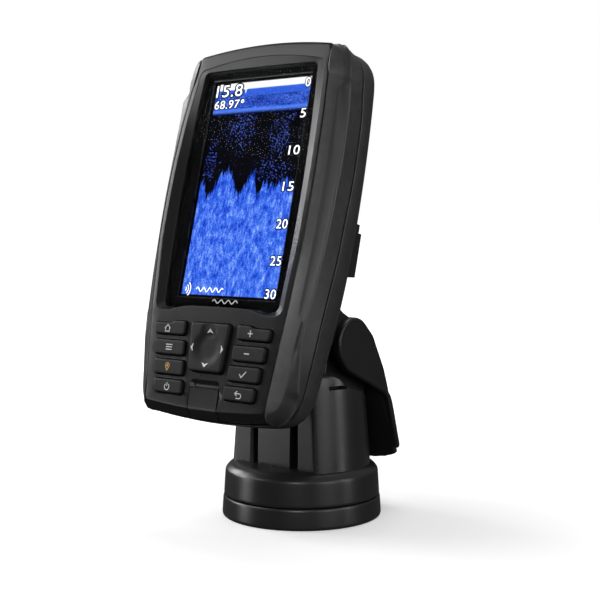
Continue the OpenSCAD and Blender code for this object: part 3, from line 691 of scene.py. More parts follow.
def middle_frame():
    rings = []

    def ring(side, top, bottom, up, low):
        rings.append(head_ring(side, top, bottom, up, low, SPAN, (33.5, 36.2)))

    # inner wall up to the seam with the fascia
    seam_up = [(38.0, 50, 3.95), (37.62, 54, 3.7), (37.34, 58, 3.2), (37.3, 59.4, 2.5), (37.1, 60.2, 0.9),
               (36.7, 60.5, -1.1)]
    seam_low = [(34.1, -98.35, -0.8), (34.2, -98.1, 1.2), (34.3, -96.9, 2.7), (34.45, -95.3, 3.8),
                (34.75, -90, 4.2)]
    for ix, h, top, bottom, up_by, low_by in (
            (9.4, -3.0, (3.6, -4.4), (2.4, -4.4), (-0.6, -1.0, -3.4), (-0.5, 1.0, -3.4)),
            (8.8, -2.0, (3.0, -3.2), (1.9, -3.2), (-0.1, -0.5, -2.2), (-0.1, 0.5, -2.2)),
            (8.75, under_face(0.4), (2.6, -2.6), (1.6, -2.6), (0, 0, 0), (0, 0, 0)),
            (8.52, under_face(0.22), (2.35, -2.5), (1.4, -2.5), (0.25, 0.12, 0.12), (0.25, -0.12, 0.12))):
        ring(lambda v: (ix - seam_out(v), level(h, v)), top, bottom, moved(seam_up, *up_by),
             moved(seam_low, *low_by))

    # crest of the side
    crest_up = [(43.3, 49.2, 1.25), (42.6, 52.9, 1.55), (41.5, 55.7, 2.05), (40.2, 57.8, 2.4),
                (39.0, 59.4, 2.1), (38.3, 60.4, 0.8), (38.0, 60.8, -1.1)]
    crest_low = [(34.8, -98.6, -0.9), (34.9, -98.4, 0.9), (35.1, -96.6, 2.5), (35.9, -94.6, 3.0),
                 (38.2, -92.2, 1.8), (39.6, -89.4, 1.35), (40.2, -86.4, 1.35)]
    for away, drop in ((0.4, -0.2), (0.0, 0.0), (-0.28, 0.36)):
        end_h = -2.55 - max(0, drop) * 0.2
        ring(lambda v: (crest_inset(v) + away, crest_h(v) - drop), (2.28 - away * 0.3, end_h),
             (1.35 - away * 0.3, end_h), moved(crest_up, -away, -away * 0.4, -drop),
             moved(crest_low, -away, away * 0.4, -drop))

    def wall_top(v):
        return wall_h(v) - 1.2 * wall_shift(v)

    def shelf(v):
        """Foot of the steep strip under the crest; the grip's facet starts here."""
        g = grip(v)
        inset_here = 2.2 + 1.25 * g
        share = (crest_inset(v) - inset_here) / (crest_inset(v) - 0.2 - wall_shift(v))
        return inset_here, crest_h(v) + (wall_top(v) - crest_h(v)) * share - 0.7 * g

    mid_up = [(44.6, 50, 0.2), (43.7, 53.2, 0.15), (42.4, 56.3, 0.3), (40.8, 58.6, 0.6), (39.4, 60.0, 0.3),
              (38.5, 60.8, -1.7)]
    mid_low = [(35.1, -98.8, -1.6), (35.7, -98.5, -0.7), (36.9, -97.0, 0.3), (38.6, -94.8, 0.1),
               (40.6, -91.4, -0.9), (41.7, -87.3, -1.0)]
    ring(shelf, (2.2, -2.62), (1.3, -2.62), mid_up, mid_low)

    # foot of the facet, turning over into the wall
    wall_up = [(45.5, 50, -1.1), (44.7, 53.6, -1.5), (43.3, 56.9, -1.5), (41.5, 59.3, -1.3),
               (39.9, 60.5, -1.7), (38.9, 61.1, -2.3)]
    wall_low = [(35.4, -98.9, -2.4), (36.6, -98.7, -2.3), (38.7, -97.8, -2.4), (41.1, -95.4, -2.9),
                (42.6, -91.8, -3.4), (43.5, -87.6, -3.6)]
    for away, drop in ((0.5, -0.36), (0.0, 0.0), (-0.17, 0.6)):
        end_h = -2.8 - max(0, drop) * 0.7
        ring(lambda v: (0.2 + wall_shift(v) + wall_in(v) + away, wall_top(v) - drop),
             (2.1 + away * 0.2, end_h), (1.25 + away * 0.2, end_h),
             moved(wall_up, -away, -away * 0.7, -drop), moved(wall_low, -away, away * 0.7, -drop))

    # outermost line, the lip over the groove and back inside
    rings += [groove_ring(*row) for row in (
        (0.0, 1.85, 1.15, 1.0), (0.12, 1.95, 1.25, 0.72), (0.4, 2.2, 1.5, 0.6), (1.5, 3.3, 2.6, 0.58),
        (3.2, 5.0, 4.3, 0.7))]
    rings.append(plain_ring(4.2, 6.0, 5.4, -4.8, -4.8, -4.8, SPAN, 12))
    s = Shell()
    s.loft(rings, closed=True)
    piece(s, "middle_frame_shell", HEAD, CASE, "head", ["mid_frame"], sharp=40)
    for k, spot in enumerate(CASE_SCREWS):
        boss = Shell()
        boss.turned([(2.9, -8.6), (2.9, -4.2), (1.25, -4.2), (1.25, -8.6)], 32, spot)
        piece(boss, f"middle_boss_{k + 1}", HEAD, CASE, "head")


def seal_ring():
    s = Shell()
    s.loft([groove_ring(*row, corner=12) for row in (
        (1.25, 3.1, 2.4, -0.54), (1.05, 2.9, 2.2, 0.0), (1.25, 3.1, 2.4, 0.54), (2.6, 4.4, 3.8, 0.54),
        (2.6, 4.4, 3.8, -0.54))], closed=True)
    piece(s, "case_seal", HEAD, SEAL, "head", ["housing_gasket"], weighted=False)


def rear_shell():
    s = Shell()
    rings = [groove_ring(*row) for row in (
        (3.9, 5.6, 5.0, -0.7), (1.5, 3.3, 2.6, -0.58), (0.72, 2.5, 1.8, -0.6), (0.42, 2.2, 1.5, -0.74),
        (0.3, 2.05, 1.35, -1.05))]
    for ix, it, ib, h, low, corner in (
            (0.35, 1.9, 1.5, -14.8, -13.4, 12), (0.55, 2.1, 1.8, -16.8, -14.8, 12),
            (1.1, 2.6, 2.5, -18.6, -16.4, 12), (2.1, 3.5, 3.6, -20.0, -17.9, 12),
            (3.4, 4.8, 4.9, -20.9, -19.3, 11.5), (5.0, 6.3, 6.4, -21.35, -20.5, 11),
            (7.0, 8.1, 8.1, -21.5, -21.2, 10)):
        rings.append(plain_ring(ix, it, ib, lambda v: table(v, [(-92, low), (-30, h)]), h, low, SPAN, corner))
    rows = s.loft(rings)
    s.cap(rows[-1], height=lambda x, y: table(y, [(-98, -21.2), (-30, -21.5)]), grid=9.0, down=True)
    deep = s.loft([plain_ring(9, 10.4, 10, -19.3, -19.3, -19.0, SPAN, 9),
                   plain_ring(4.3, 6.0, 5.4, -16.8, -16.8, -15.6, SPAN, 11),
                   plain_ring(4.0, 5.8, 5.2, -11.8, -11.8, -11.4, SPAN, 12)])
    s.bridge(deep[-1], rows[0])
    s.cap(deep[0])
    shell = piece(s, "rear_shell", HEAD, CASE, "head", ["rear_housing"], sharp=40)
    cut(shell, *[hole_tool(x, v, 2.55, -30, -18.6) for x, v in CASE_SCREWS])
    for k, spot in enumerate(CASE_SCREWS):
        tube = Shell()
        tube.turned([(3.2, -19.7), (3.2, -9.85), (1.5, -9.85), (1.5, -13.4), (2.5, -13.4), (2.5, -19.7)],
                    32, spot)
        piece(tube, f"rear_screw_tube_{k + 1}", HEAD, CASE, "head")
    boss = Shell()
    boss.puck(rounded([(-22, -34), (22, -34), (22, -14.8), (-22, -14.8)], 1.5),
              [(0.9, -29), (0.25, -28.8), (0, -28.2), (0, -21.0)])
    spigot = piece(boss, "rear_spigot", HEAD, CASE, "head")
    cut(spigot, block(-7.4, 7.4, -32, -16.4, -40, -12, HEAD, 0.8),
        block(-10, 10, -16.8, -13, -27.6, -24, HEAD))


def hole_tool(x, v, r, h0, h1, where=HEAD):
    s = Shell()
    s.puck(circle(x, v, r, 40), [(0, h0), (0, h1)])
    return s.mesh("hole", where)


# ---------------------------------------------------------------- openings in the fascia
KEY_RISE, PAD_RISE = 1.4, 1.95
PAD_V = -70.6
ROWS = [(13.8, 31.8, -75, -68.6), (12.8, 30.5, -83.4, -77), (11.9, 29, -91.3, -85.4)]


def key_loops():
    """Right-hand key outlines from the top row down, then the left-hand ones."""
    right = [rounded([(14.9, -66.25), (32.6, -66.4), (33.2, -61.35), (23.7, -61.2), (21.3, -60.3),
                      (14.7, -60.15)], [1.2, 1.4, 1.3, 1.5, 1.5, 1.2], step=2.0)]
    right += [rounded([(x0 - 0.1, vb), (x1 - 0.5, vb), (x1, vt), (x0, vt)], [1.2, 1.4, 1.4, 1.2], step=2.0)
              for x0, x1, vb, vt in ROWS]
    return right, [[Vector((-p.x, p.y)) for p in reversed(loop)] for loop in right]


RIGHT_KEYS, LEFT_KEYS = key_loops()
PAD = rounded([(-9.4, -80.9), (9.4, -80.9), (11.2, -60.3), (-11.2, -60.3)], [1.7, 1.7, 1.6, 1.6], step=2.0)


def recess_loop():
    """The shallow recess round the screen."""
    low = [(0, -53.5), (7.5, -53.5), (14, -53.6), (18.2, -53.8), (22, -54.5), (25.5, -55.45), (28.8, -55.8),
           (33.2, -55.7), (35.3, -54.6), (36.35, -52.4)]
    side = [(edge_x(v, 11.4 - 1.1 * seam_out(v)), v) for v in range(-48, 50, 6)]
    top = [(36.05, 49.6), (35.3, 52.3), (33.6, 53.75)] + [(x, 57.6 - x * x / 294) for x in range(30, -1, -6)]
    return mirrored([Vector(p) for p in low + side + top])


def lens_loop():
    """The display's window; its sides follow the head's edge."""
    low = [(0, -52.7), (8, -52.72), (16.9, -52.8), (20.6, -53.1), (24.2, -54.0), (28.2, -53.95),
           (31.0, -53.2), (32.2, -51.8)]
    side = [(edge_x(v, 14.9), v) for v in (-49.5, -37, -25, -12, 0, 12, 25, 37, 49)]
    top = [(31.6, 51.0), (30.1, 51.9), (20, 52.1), (10, 52.2), (0, 52.2)]
    return mirrored([Vector(p) for p in low + side + top])


RECESS, LENS = recess_loop(), lens_loop()
LENS_H = 3.7
LENS_SEAT, FASCIA_BACK, KEY_POCKET = 1.3, 0.62, 3.2
SCOOP_DEPTH = 1.3
FASCIA_SIDE, FASCIA_TOP, FASCIA_LOW = 8.98, 2.6, 1.95


def notch(x, v):
    """Depth of the finger scoop over the card door."""
    return SCOOP_DEPTH * ramp(-v, 84.4, 85.6) * (1 - ramp(abs(x), 6.6, 8.0))


def fascia():
    s = Shell()

    def ring(side, h, top, top_h, low, low_h):
        """One ring of the fascia from its inset and height at the side, the top and the bottom."""
        out, up_by, low_by = side - FASCIA_SIDE, top - FASCIA_TOP, low - FASCIA_LOW

        def corner(points, end_h, v_by):
            return [(x - out * (1 - 0.5 * w), v + v_by * w, level(h, v) * (1 - w) + level(end_h, v) * w)
                    for x, v, w in points]

        upper = corner(((37.74, 50, 0), (37.39, 54, 0), (37.1, 58, 0.15), (37.02, 59.25, 0.5),
                        (36.8, 60.0, 0.85), (36.3, 60.4, 1)), top_h, -up_by)
        lower = corner(((33.7, -98.0, 1), (34.05, -97.3, 0.9), (34.15, -96.0, 0.6), (34.25, -94, 0.25),
                        (34.52, -90, 0)), low_h, low_by)
        return head_ring(lambda v: (side - seam_out(v), level(h, v)), (top, top_h), (low, low_h),
                         upper, lower, SPAN, (33.0, 35.7), corner=22)

    under = under_face
    rows = s.loft([
        ring(9.6, under(0.2), 4.2, under(0), 5.9, under(0)),
        ring(9.2, under(0.28), 3.5, under(0.1), 5.4, under(0.08)),
        ring(9.02, under(0.42), 3.05, under(0.35), 5.0, under(0.34)),
        ring(FASCIA_SIDE, under(0.64), 2.8, 2.3, 4.5, under(0.85)),
        ring(FASCIA_SIDE, under(1.0), 2.62, 1.6, 2.6, 2.1),
        ring(FASCIA_SIDE, 1.0, FASCIA_TOP, 0.8, 2.05, 1.35),
        ring(FASCIA_SIDE, -1.8, FASCIA_TOP, -1.8, FASCIA_LOW, -1.8),
        ring(9.2, -2.1, 2.8, -2.1, 2.15, -2.1),
        ring(10.0, -2.1, 4.2, -2.1, 4.2, -2.1),
        ring(10.0, FASCIA_BACK, 4.2, FASCIA_BACK, 4.2, FASCIA_BACK)], flip=True)
    front_holes, back_holes = [], []
    for loop in RIGHT_KEYS + LEFT_KEYS + [PAD]:
        sides = s.loft([raised(inset(loop, d), on_face(-drop)) for d, drop in
                        ((-0.62, 0.0), (-0.42, 0.07), (-0.3, 0.3))] + [raised(inset(loop, -0.3), KEY_POCKET)])
        front_holes.append(sides[0])
        back_holes.append(sides[-1])
    rim = s.loft([raised(inset(RECESS, d), on_face(-drop)) for d, drop in
                  ((0, 0), (0.14, 0.05), (0.28, 0.2))])
    lens = s.loft([raised(inset(LENS, d), h) for d, h in (
        (-0.42, LENS_H + 0.2), (-0.36, LENS_H + 0.12), (-0.3, LENS_H - 0.1), (-0.28, LENS_SEAT))])
    window = s.loft([raised(rectangle(28, 48.8, 0.5, 8), h) for h in (LENS_SEAT, FASCIA_BACK)])
    s.cap(lens[-1], [window[0]])
    s.cap(rim[-1], [lens[0]])
    # outlines of the finger scoop, so that its slope has its own edges
    marks = [rounded([(-x, -low), (x, -low), (x1, -high), (-x1, -high)], [r0, r0, r1, r1], step=1.2)
             for x, x1, low, high, r0, r1 in (
                 (8.3, 8.2, 88, 84.0, 0.3, 1.6), (7.3, 7.2, 87.9, 85.1, 0.2, 1.2),
                 (6.5, 6.5, 87.8, 86.1, 0.2, 0.6))]
    s.cap(rows[0], front_holes + [rim[0]], height=lambda x, y: face_h(y) - notch(x, y), grid=3.0, marks=marks)
    well = rounded([(-31.6, -94), (31.6, -94), (33.2, -85.8), (34.6, -58.4), (-34.6, -58.4), (-33.2, -85.8)],
                   0.4, step=6)
    pocket = s.loft([raised(well, h) for h in (KEY_POCKET, FASCIA_BACK)])
    s.cap(pocket[0], back_holes, down=True)
    s.cap(rows[-1], [window[-1], pocket[-1]], down=True)
    front = piece(s, "fascia_front", HEAD, FASCIA, "head", ["front_fascia"], sharp=34)
    cut(front, block(-8.55, 8.55, -104, -87.15, -6, 12, HEAD))


# ---------------------------------------------------------------- keys
def rubber_cap(loop, base, top_at_point, levels, grid):
    """A key's solid: a flange inside the fascia, then the loop at each (inset, drop) under its top."""
    s = Shell()
    rows = s.loft([raised(inset(loop, d), h) for d, h in base]
                  + [raised(inset(loop, d), lambda x, v: top_at_point(x, v) - drop) for d, drop in levels])
    s.cap(rows[0], down=True)
    s.cap(rows[-1], height=top_at_point, grid=grid)
    return s


def key_cap(name, body, node_name, loop):
    s = rubber_cap(loop, ((-0.7, 1.62), (-0.7, 2.55), (0, 2.6)), on_face(KEY_RISE),
                   ((0.02, 0.62), (0.1, 0.36), (0.3, 0.14), (0.62, 0.02), (0.95, 0.0)), 1.6)
    piece(s, name, HEAD, RUBBER, body, [node_name], sharp=50)


def pad_h(x, v):
    """The pad's top: a shallow oval dish with a dimple for the upper arrow."""
    r = math.hypot(x / 8.6, (v - PAD_V) / 8.4)
    dish = 1.1 * (1 - ramp(r, 0.45, 1.0))
    dimple = 0.5 * (1 - ramp(math.hypot(x / 4.8, (v + 63.4) / 3.3), 0.72, 1.0))
    return face_h(v) + PAD_RISE - dish - dimple * (1 - 0.4 * ramp(-v, 64, 70))


def rocker():
    s = rubber_cap(PAD, ((-0.7, 1.72), (-0.7, 2.4), (0, 2.45)), pad_h,
                   ((0.02, 0.9), (0.12, 0.5), (0.35, 0.2), (0.7, 0.04), (1.05, 0.0)), 0.85)
    pad = piece(s, "rocker_pad_cap", HEAD, RUBBER, "rocker", ["rocker_pad"], sharp=50, weighted=False)
    cut(pad, block(-5.3, 5.3, PAD_V - 5.3, PAD_V + 5.3, -1, 3.6, HEAD))
    for k, (x, v) in enumerate(((8.3, 0), (-8.3, 0), (0, 8), (0, -8))):
        pin = Shell()
        pin.puck(circle(x, PAD_V + v, 1.2, 20), [(0, -0.3), (0, 2.0)])
        piece(pin, f"rocker_pin_{k + 1}", HEAD, RUBBER, "rocker")
    shapes = {"up": [(0, -62.6), (-2.05, -64.75), (0, -64.0), (2.05, -64.75)],
              "down": [(0, -79.0), (2.05, -76.95), (0, -77.65), (-2.05, -76.95)],
              "left": [(-9.3, -71.0), (-7.75, -73.0), (-8.15, -71.0), (-7.75, -69.0)],
              "right": [(9.3, -71.0), (7.75, -69.0), (8.15, -71.0), (7.75, -73.0)]}
    for word, points in shapes.items():
        arrow = Shell()
        loop = rounded(points, 0.12, step=0.6, arc=3)
        rows = arrow.loft([raised(loop, lambda x, v: pad_h(x, v) + lift) for lift in (-0.15, 0.04)])
        arrow.cap(rows[0], down=True)
        arrow.cap(rows[-1])
        piece(arrow, f"arrow_{word}", HEAD, LEGEND, "rocker")


def strokes(name, body, lines, width, height, material, thick=0.08):
    """Printed strokes: each line is (points, closed). They follow height(x, v) and are one piece."""
    s = Shell()
    for points, closed in lines:
        pts = [Vector(p) for p in points]
        n = len(pts)
        left, right = [], []
        for i, p in enumerate(pts):
            a = (p - pts[i - 1]).normalized() if (closed or i) else (pts[1] - p).normalized()
            b = (pts[(i + 1) % n] - p).normalized() if (closed or i < n - 1) else a
            n1, n2 = Vector((-a.y, a.x)), Vector((-b.y, b.x))
            m = (n1 + n2) / max(0.4, 1 + n1.dot(n2)) * (width / 2)
            left.append(p + m)
            right.append(p - m)
        (l1, r1), (l0, r0) = [[s.add(raised(loop, lambda x, v: height(x, v) + lift))
                               for loop in (left, right)] for lift in (thick / 2, -thick / 2)]
        for i in range(n if closed else n - 1):
            j = (i + 1) % n
            s.faces += [(r1[i], r1[j], l1[j], l1[i]), (l0[i], l0[j], r0[j], r0[i]),
                        (l1[i], l1[j], l0[j], l0[i]), (r0[i], r0[j], r1[j], r1[i])]
        if not closed:
            s.faces += [(l1[0], l0[0], r0[0], r1[0]), (l1[-1], r1[-1], r0[-1], l0[-1])]
    piece(s, name, HEAD, material, body, weighted=False)


def arc(x, y, r, a0, a1, n=14):
    return [(x + r * math.cos(math.radians(a0 + (a1 - a0) * k / n)),
             y + r * math.sin(math.radians(a0 + (a1 - a0) * k / n))) for k in range(n + 1)]


def icons():
    """The symbol on each key: its middle, stroke width and strokes round the middle."""
    symbols = {
        "home": (-25.0, -63.8, 0.36, [([(-1.7, -0.1), (0, 1.5), (1.7, -0.1)], False),
                                      ([(-1.15, 0.2), (-1.15, -1.4), (1.15, -1.4), (1.15, 0.2)], False)]),
        "menu": (-22.5, -71.8, 0.38, [([(-1.8, d), (1.8, d)], False) for d in (-1.05, 0, 1.05)]),
        "mark": (-21.8, -80.2, 0.36, [([(0, -1.6)] + arc(0, 0.45, 1.15, -25, 205, 12), True),
                                      (arc(0, 0.45, 0.35, 0, 330, 8), True)]),
        "power": (-20.4, -88.6, 0.34, [(arc(0, -0.1, 1.35, 125, 415, 18), False),
                                       ([(0, 0.1), (0, 1.7)], False)]),
        "plus": (22.4, -63.5, 0.42, [([(-1.35, 0), (1.35, 0)], False), ([(0, -1.35), (0, -0.2)], False),
                                     ([(0, 0.2), (0, 1.35)], False)]),
        "minus": (22.0, -71.8, 0.44, [([(-1.4, 0), (1.4, 0)], False)]),
        "select": (21.3, -80.3, 0.42, [([(-1.7, 0.1), (-0.5, -1.2), (1.9, 1.4)], False)]),
        "back": (20.4, -88.6, 0.36, [
            ([(-0.6, 1.5), (-1.8, 0.5), (-0.6, -0.5)], False),
            ([(-1.6, 0.5), (0.7, 0.5)] + arc(0.7, -0.45, 0.95, 80, -90, 9) + [(-0.9, -1.4)], False)])}
    for word, (x, v, width, lines) in symbols.items():
        placed = [([(x + dx, v + dv) for dx, dv in points], closed) for points, closed in lines]
        strokes(f"icon_{word}", f"key_{word}_button", placed, width, on_face(KEY_RISE + 0.02),
                AMBER if word == "mark" else LEGEND)


def side_solid(outline, levels):
    """A closed solid from a (y, z) loop: the loop at each (inset, x) level, with flat ends."""
    s = Shell()
    rows = s.loft([[(x, p.x, p.y) for p in inset(outline, d)] for d, x in levels])
    s.faces += [tuple(rows[0]), tuple(rows[-1][::-1])]
    return s


def side_prism(points, x0, x1):
    return side_solid([Vector(p) for p in points], ((0, x0), (0, x1)))


def door():
    """Card door: one plate that follows the face and turns over the bottom edge on its hinge barrel."""
    profile = [(v, face_h(v)) for v in (-87.45, -90, -93, -95.4)]
    profile += [(-96.4, face_h(-96.4) - 0.1), (-97.0, 3.85), (-99.3, 2.35), (-99.85, 1.6), (-99.95, 1.0),
                (-99.9, -1.0), (-99.3, -1.1), (-98.9, 1.0), (-96.9, 1.5), (-95.9, 2.5), (-90.0, 2.95),
                (-87.6, 2.9)]
    s = side_solid([Vector(p) for p in reversed(profile)],
                   ((0.28, -8.3), (0.08, -8.22), (0.0, -8.0), (0.0, 8.0), (0.08, 8.22), (0.28, 8.3)))
    piece(s, "card_door_plate", HEAD, FASCIA, "door", ["card_door"], sharp=30)
    pin = Shell()
    pin.turned([(0.15, -8.4), (0.5, -8.4), (0.5, 8.4), (0.15, 8.4)], 20)
    piece(pin, "card_door_hinge_pin", HEAD @ Matrix.Translation((0, -98, 2.6)) @ ALONG_X, STEEL, "head",
          ["card_door_pin"])


# ---------------------------------------------------------------- screen
def slab(name, loop, h0, h1, material, replaces, edge=0.0):
    """A flat plate on the head, with its edges eased by edge."""
    s = Shell()
    s.puck(loop, [(edge, h0), (0, h0 + edge), (0, h1 - edge), (edge, h1)] if edge else [(0, h0), (0, h1)])
    piece(s, name, HEAD, material, "head", replaces)


def screen():
    slab("display_glass", LENS, 1.62, LENS_H, GLASS, ["screen_lens"], edge=0.06)
    border = Shell()
    outer = border.loft([raised(inset(LENS, 0.2), h) for h in (1.36, 1.6)])
    window = border.loft([raised(rectangle(28.4, 49.2, 0.6, 8), h) for h in (1.36, 1.6)], flip=True)
    border.cap(outer[1], [window[1]])
    border.cap(outer[0], [window[0]], down=True)
    piece(border, "display_border", HEAD, PRINT, "head", ["lens_adhesive"])
    slab("display_panel", rectangle(30.4, 52), -1.2, 0.12, PRINT, ["lcd_panel"])
    sheet = Shell()
    sheet.puck(rectangle(PICTURE_W / 2, PICTURE_H / 2), [(0, 0.13), (0, 0.2)])
    obj = piece(sheet, "display_picture", HEAD, PICTURE, "head", weighted=False)
    back = HEAD.inverted()
    layer = obj.data.uv_layers.new(name="picture")
    for corner in obj.data.loops:
        p = back @ (obj.data.vertices[corner.vertex_index].co / MM)
        layer.data[corner.index].uv = (0.5 + p.x / PICTURE_W, 0.5 + p.y / PICTURE_H)
    for text, v in (("0", 45.1), ("5", 31.6), ("10", 15.6), ("15", -0.1), ("20", -16.1), ("25", -31.8),
                    ("30", -45.8)):
        numeral(text, 26.8 - (2.75 if len(text) == 1 else 5.9), 26.8, v - 2.0, v + 2.0)
    numeral("15.8", -26.8, -11.4, 41.5, 47.0)
    numeral("68.97", -26.6, -12.0, 36.1, 39.9)
    wave = [(-18.5 + k * 0.35, -45.2 + 0.9 * math.sin(k * 0.62)) for k in range(46)]
    echoes = [(arc(-25.6, -45.2, r, -50, 50, 8), False) for r in (1.1, 2.4, 3.7)]
    for name, width, lines in (
            ("unit_depth", 0.4, [([(-10.2, 44.6), (-8.4, 44.6)], False),
                                 ([(-9.3, 46.6), (-9.3, 42.9)], False)]),
            ("unit_temperature", 0.4, [(arc(-10.2, 39.0, 0.65, 0, 330, 12), True)]),
            ("sounder_icon", 0.45, echoes + [(wave, False)])):
        strokes(name, "head", lines, width, lambda x, v: 0.226, WHITE, thick=0.03)
    ripple = [(-4.6 + k * 0.4, -50.6 + 0.75 * math.sin(k * 0.62)) for k in range(37)]
    strokes("lens_emblem", "head", [(ripple, False)], 0.4, lambda x, v: LENS_H + 0.02, LEGEND, thick=0.05)


def numeral(text, x0, x1, v0, v1):
    """Raised numerals that fill a box, with a dark outline just under them."""
    for word, grow, h, material in (("outline", 0.08, 0.215, PRINT), ("figure", 0.0, 0.23, WHITE)):
        curve = bpy.data.curves.new("numerals", "FONT")
        curve.body, curve.size, curve.extrude, curve.resolution_u = text, 1.0, 0.005, 5
        curve.space_character = 1.08
        temp = bpy.data.objects.new("numerals", curve)
        bpy.context.scene.collection.objects.link(temp)
        bpy.context.view_layer.update()
        spread = [Vector(c) for c in temp.bound_box]
        curve.offset = grow
        me = bpy.data.meshes.new_from_object(temp.evaluated_get(bpy.context.evaluated_depsgraph_get()))
        bpy.data.objects.remove(temp)
        bm = bmesh.new()
        bm.from_mesh(me)
        bmesh.ops.remove_doubles(bm, verts=bm.verts, dist=1e-4)
        bm.to_mesh(me)
        bm.free()
        a0, a1 = min(p.x for p in spread), max(p.x for p in spread)
        b0, b1 = min(p.y for p in spread), max(p.y for p in spread)
        grown = Matrix.Diagonal(((x1 - x0) / (a1 - a0), (v1 - v0) / (b1 - b0), 1, 1))
        fit = Matrix.Translation((x0, v0, h)) @ grown @ Matrix.Translation((-a0, -b0, 0))
        me.transform(Matrix.Scale(MM, 4) @ HEAD @ fit)
        me.materials.clear()
        me.materials.append(material)
        obj = bpy.data.objects.new(f"numeral_{text.replace('.', '_')}_{word}", me)
        bpy.context.scene.collection.objects.link(obj)
        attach(obj, "head")


# ---------------------------------------------------------------- stand
def base():
    s = Shell()
    s.turned([(22.0, 0.0), (34.9, 0.0), (35.6, 0.12), (36.0, 0.42), (36.2, 1.0), (36.22, 1.7), (35.75, 8.2),
              (35.62, 8.8), (35.35, 9.2), (34.9, 9.4), (22.7, 9.4), (22.7, 8.8), (18.4, 8.8), (18.4, 3.0),
              (22.0, 3.0)])
    plate = piece(s, "base_disc", STAND, STAND_PLASTIC, "base", ["base_plate"], sharp=30)
    spots = [(28 * math.cos(math.radians(a)), 28 * math.sin(math.radians(a))) for a in (45, 135, 225, 315)]
    cut(plate, *[hole_tool(x, y, 2.2, -1, 12, STAND) for x, y in spots],
        *[hole_tool(x, y, 4.4, 4.6, 12, STAND) for x, y in spots])


COLUMN_SIDES = 200


def column_loop(z):
    """The column's outline at height z: a circle with a flat front and back and rounded front corners."""
    r = 31.4 + (28.3 - 31.4) * (z - 22) / 42
    front = -19.9 + 0.9 * (z - 20) / 46
    back = 24.4 if z < 50 else 24.4 - 3.9 * (z - 50) / 16
    a0, a1 = math.asin(front / r), math.asin(back / r)
    angles = [a0 + (a1 - a0) * k / 24 for k in range(25)]
    half = [(0, front)] + [(r * math.cos(a), r * math.sin(a)) for a in angles] + [(0, back)]
    points = mirrored([Vector(p) for p in half])
    radii = [0] * len(points)
    radii[1] = radii[-1] = 1.1
    radii[25] = radii[-25] = 2.4
    loop = rounded(points, radii, step=0.8)
    return along([p.to_3d() for p in loop + loop[:1]], COLUMN_SIDES + 1)[:-1]


def column():
    s = Shell()
    s.turned([(12.0, 2.9), (18.15, 2.9), (18.15, 9.75), (34.75, 9.75), (35.25, 9.95), (35.42, 10.4),
              (35.38, 11.0), (34.92, 18.4), (34.8, 19.9), (34.73, 20.7), (34.58, 21.1), (34.25, 21.6),
              (33.75, 22.2), (33.05, 22.9), (32.2, 23.5), (31.0, 24.0), (29.4, 24.35), (27.5, 24.4),
              (12.0, 24.4)])
    piece(s, "swivel_ring", STAND, STAND_PLASTIC, "swivel", ["swivel_column"], sharp=30)
    s = Shell()
    rows = s.loft([raised(column_loop(z), z) for z in (22.0, 28, 36, 44, 50, 55, 60, 64.6)]
                  + [raised(inset([p.to_2d() for p in column_loop(z)], d), z)
                     for d, z in ((0.25, 65.4), (0.7, 65.85), (1.3, 66.0))])
    s.cap(rows[0], down=True)
    s.cap(rows[-1])
    body = piece(s, "swivel_pillar", STAND, STAND_PLASTIC, "swivel", sharp=30)
    side = [(-12, 66.2), (-7.5, 64.2), (-4.2, 61), (0, 59.2), (8, 57.2), (16, 54.5), (32, 46), (34, 72),
            (-12, 72)]
    tools = [side_prism(side, 20, 44), side_prism(side, -44, -20)]
    cut(body, *[t.mesh("side_tool", STAND) for t in tools],
        block(-14, 14, -8, 34, 21, 54, STAND, 1.5),
        slot_tool(1), slot_tool(-1),
        block(24, 34, -12.6, -3.4, 59.6, 61.3, STAND), block(-34, -24, -12.6, -3.4, 59.6, 61.3, STAND))
    web = side_prism([(-9.5, 60), (14, 60), (11.6, 79), (-4.8, 79)], -19.6, 19.6)
    piece(web, "swivel_web", STAND, STAND_PLASTIC, "swivel", sharp=30, bevel=0.5)
    barrel = Shell()
    barrel.turned([(3.1, -23.6), (8.1, -23.6), (8.6, -23.1), (8.6, 23.1), (8.1, 23.6), (3.1, 23.6)], 64)
    axle = Matrix.Translation((0, PIVOT_Y, PIVOT_Z)) @ ALONG_X
    piece(barrel, "swivel_barrel", axle, STAND_PLASTIC, "swivel", sharp=30)


def slot_tool(side):
    """Front slot with its outer lip opened up by a bevel."""
    pts = [(9.2, -12.9), (9.2, -30), (16.2, -30), (14.6, -20.4), (13.1, -18.6), (12.8, -17.9), (12.8, -12.9)]
    loop = [Vector((side * x, y)) for x, y in (pts if side < 0 else pts[::-1])]
    s = Shell()
    s.puck(loop, [(0, 23.9), (0, 57.0)])
    return s.mesh("slot_tool", STAND)


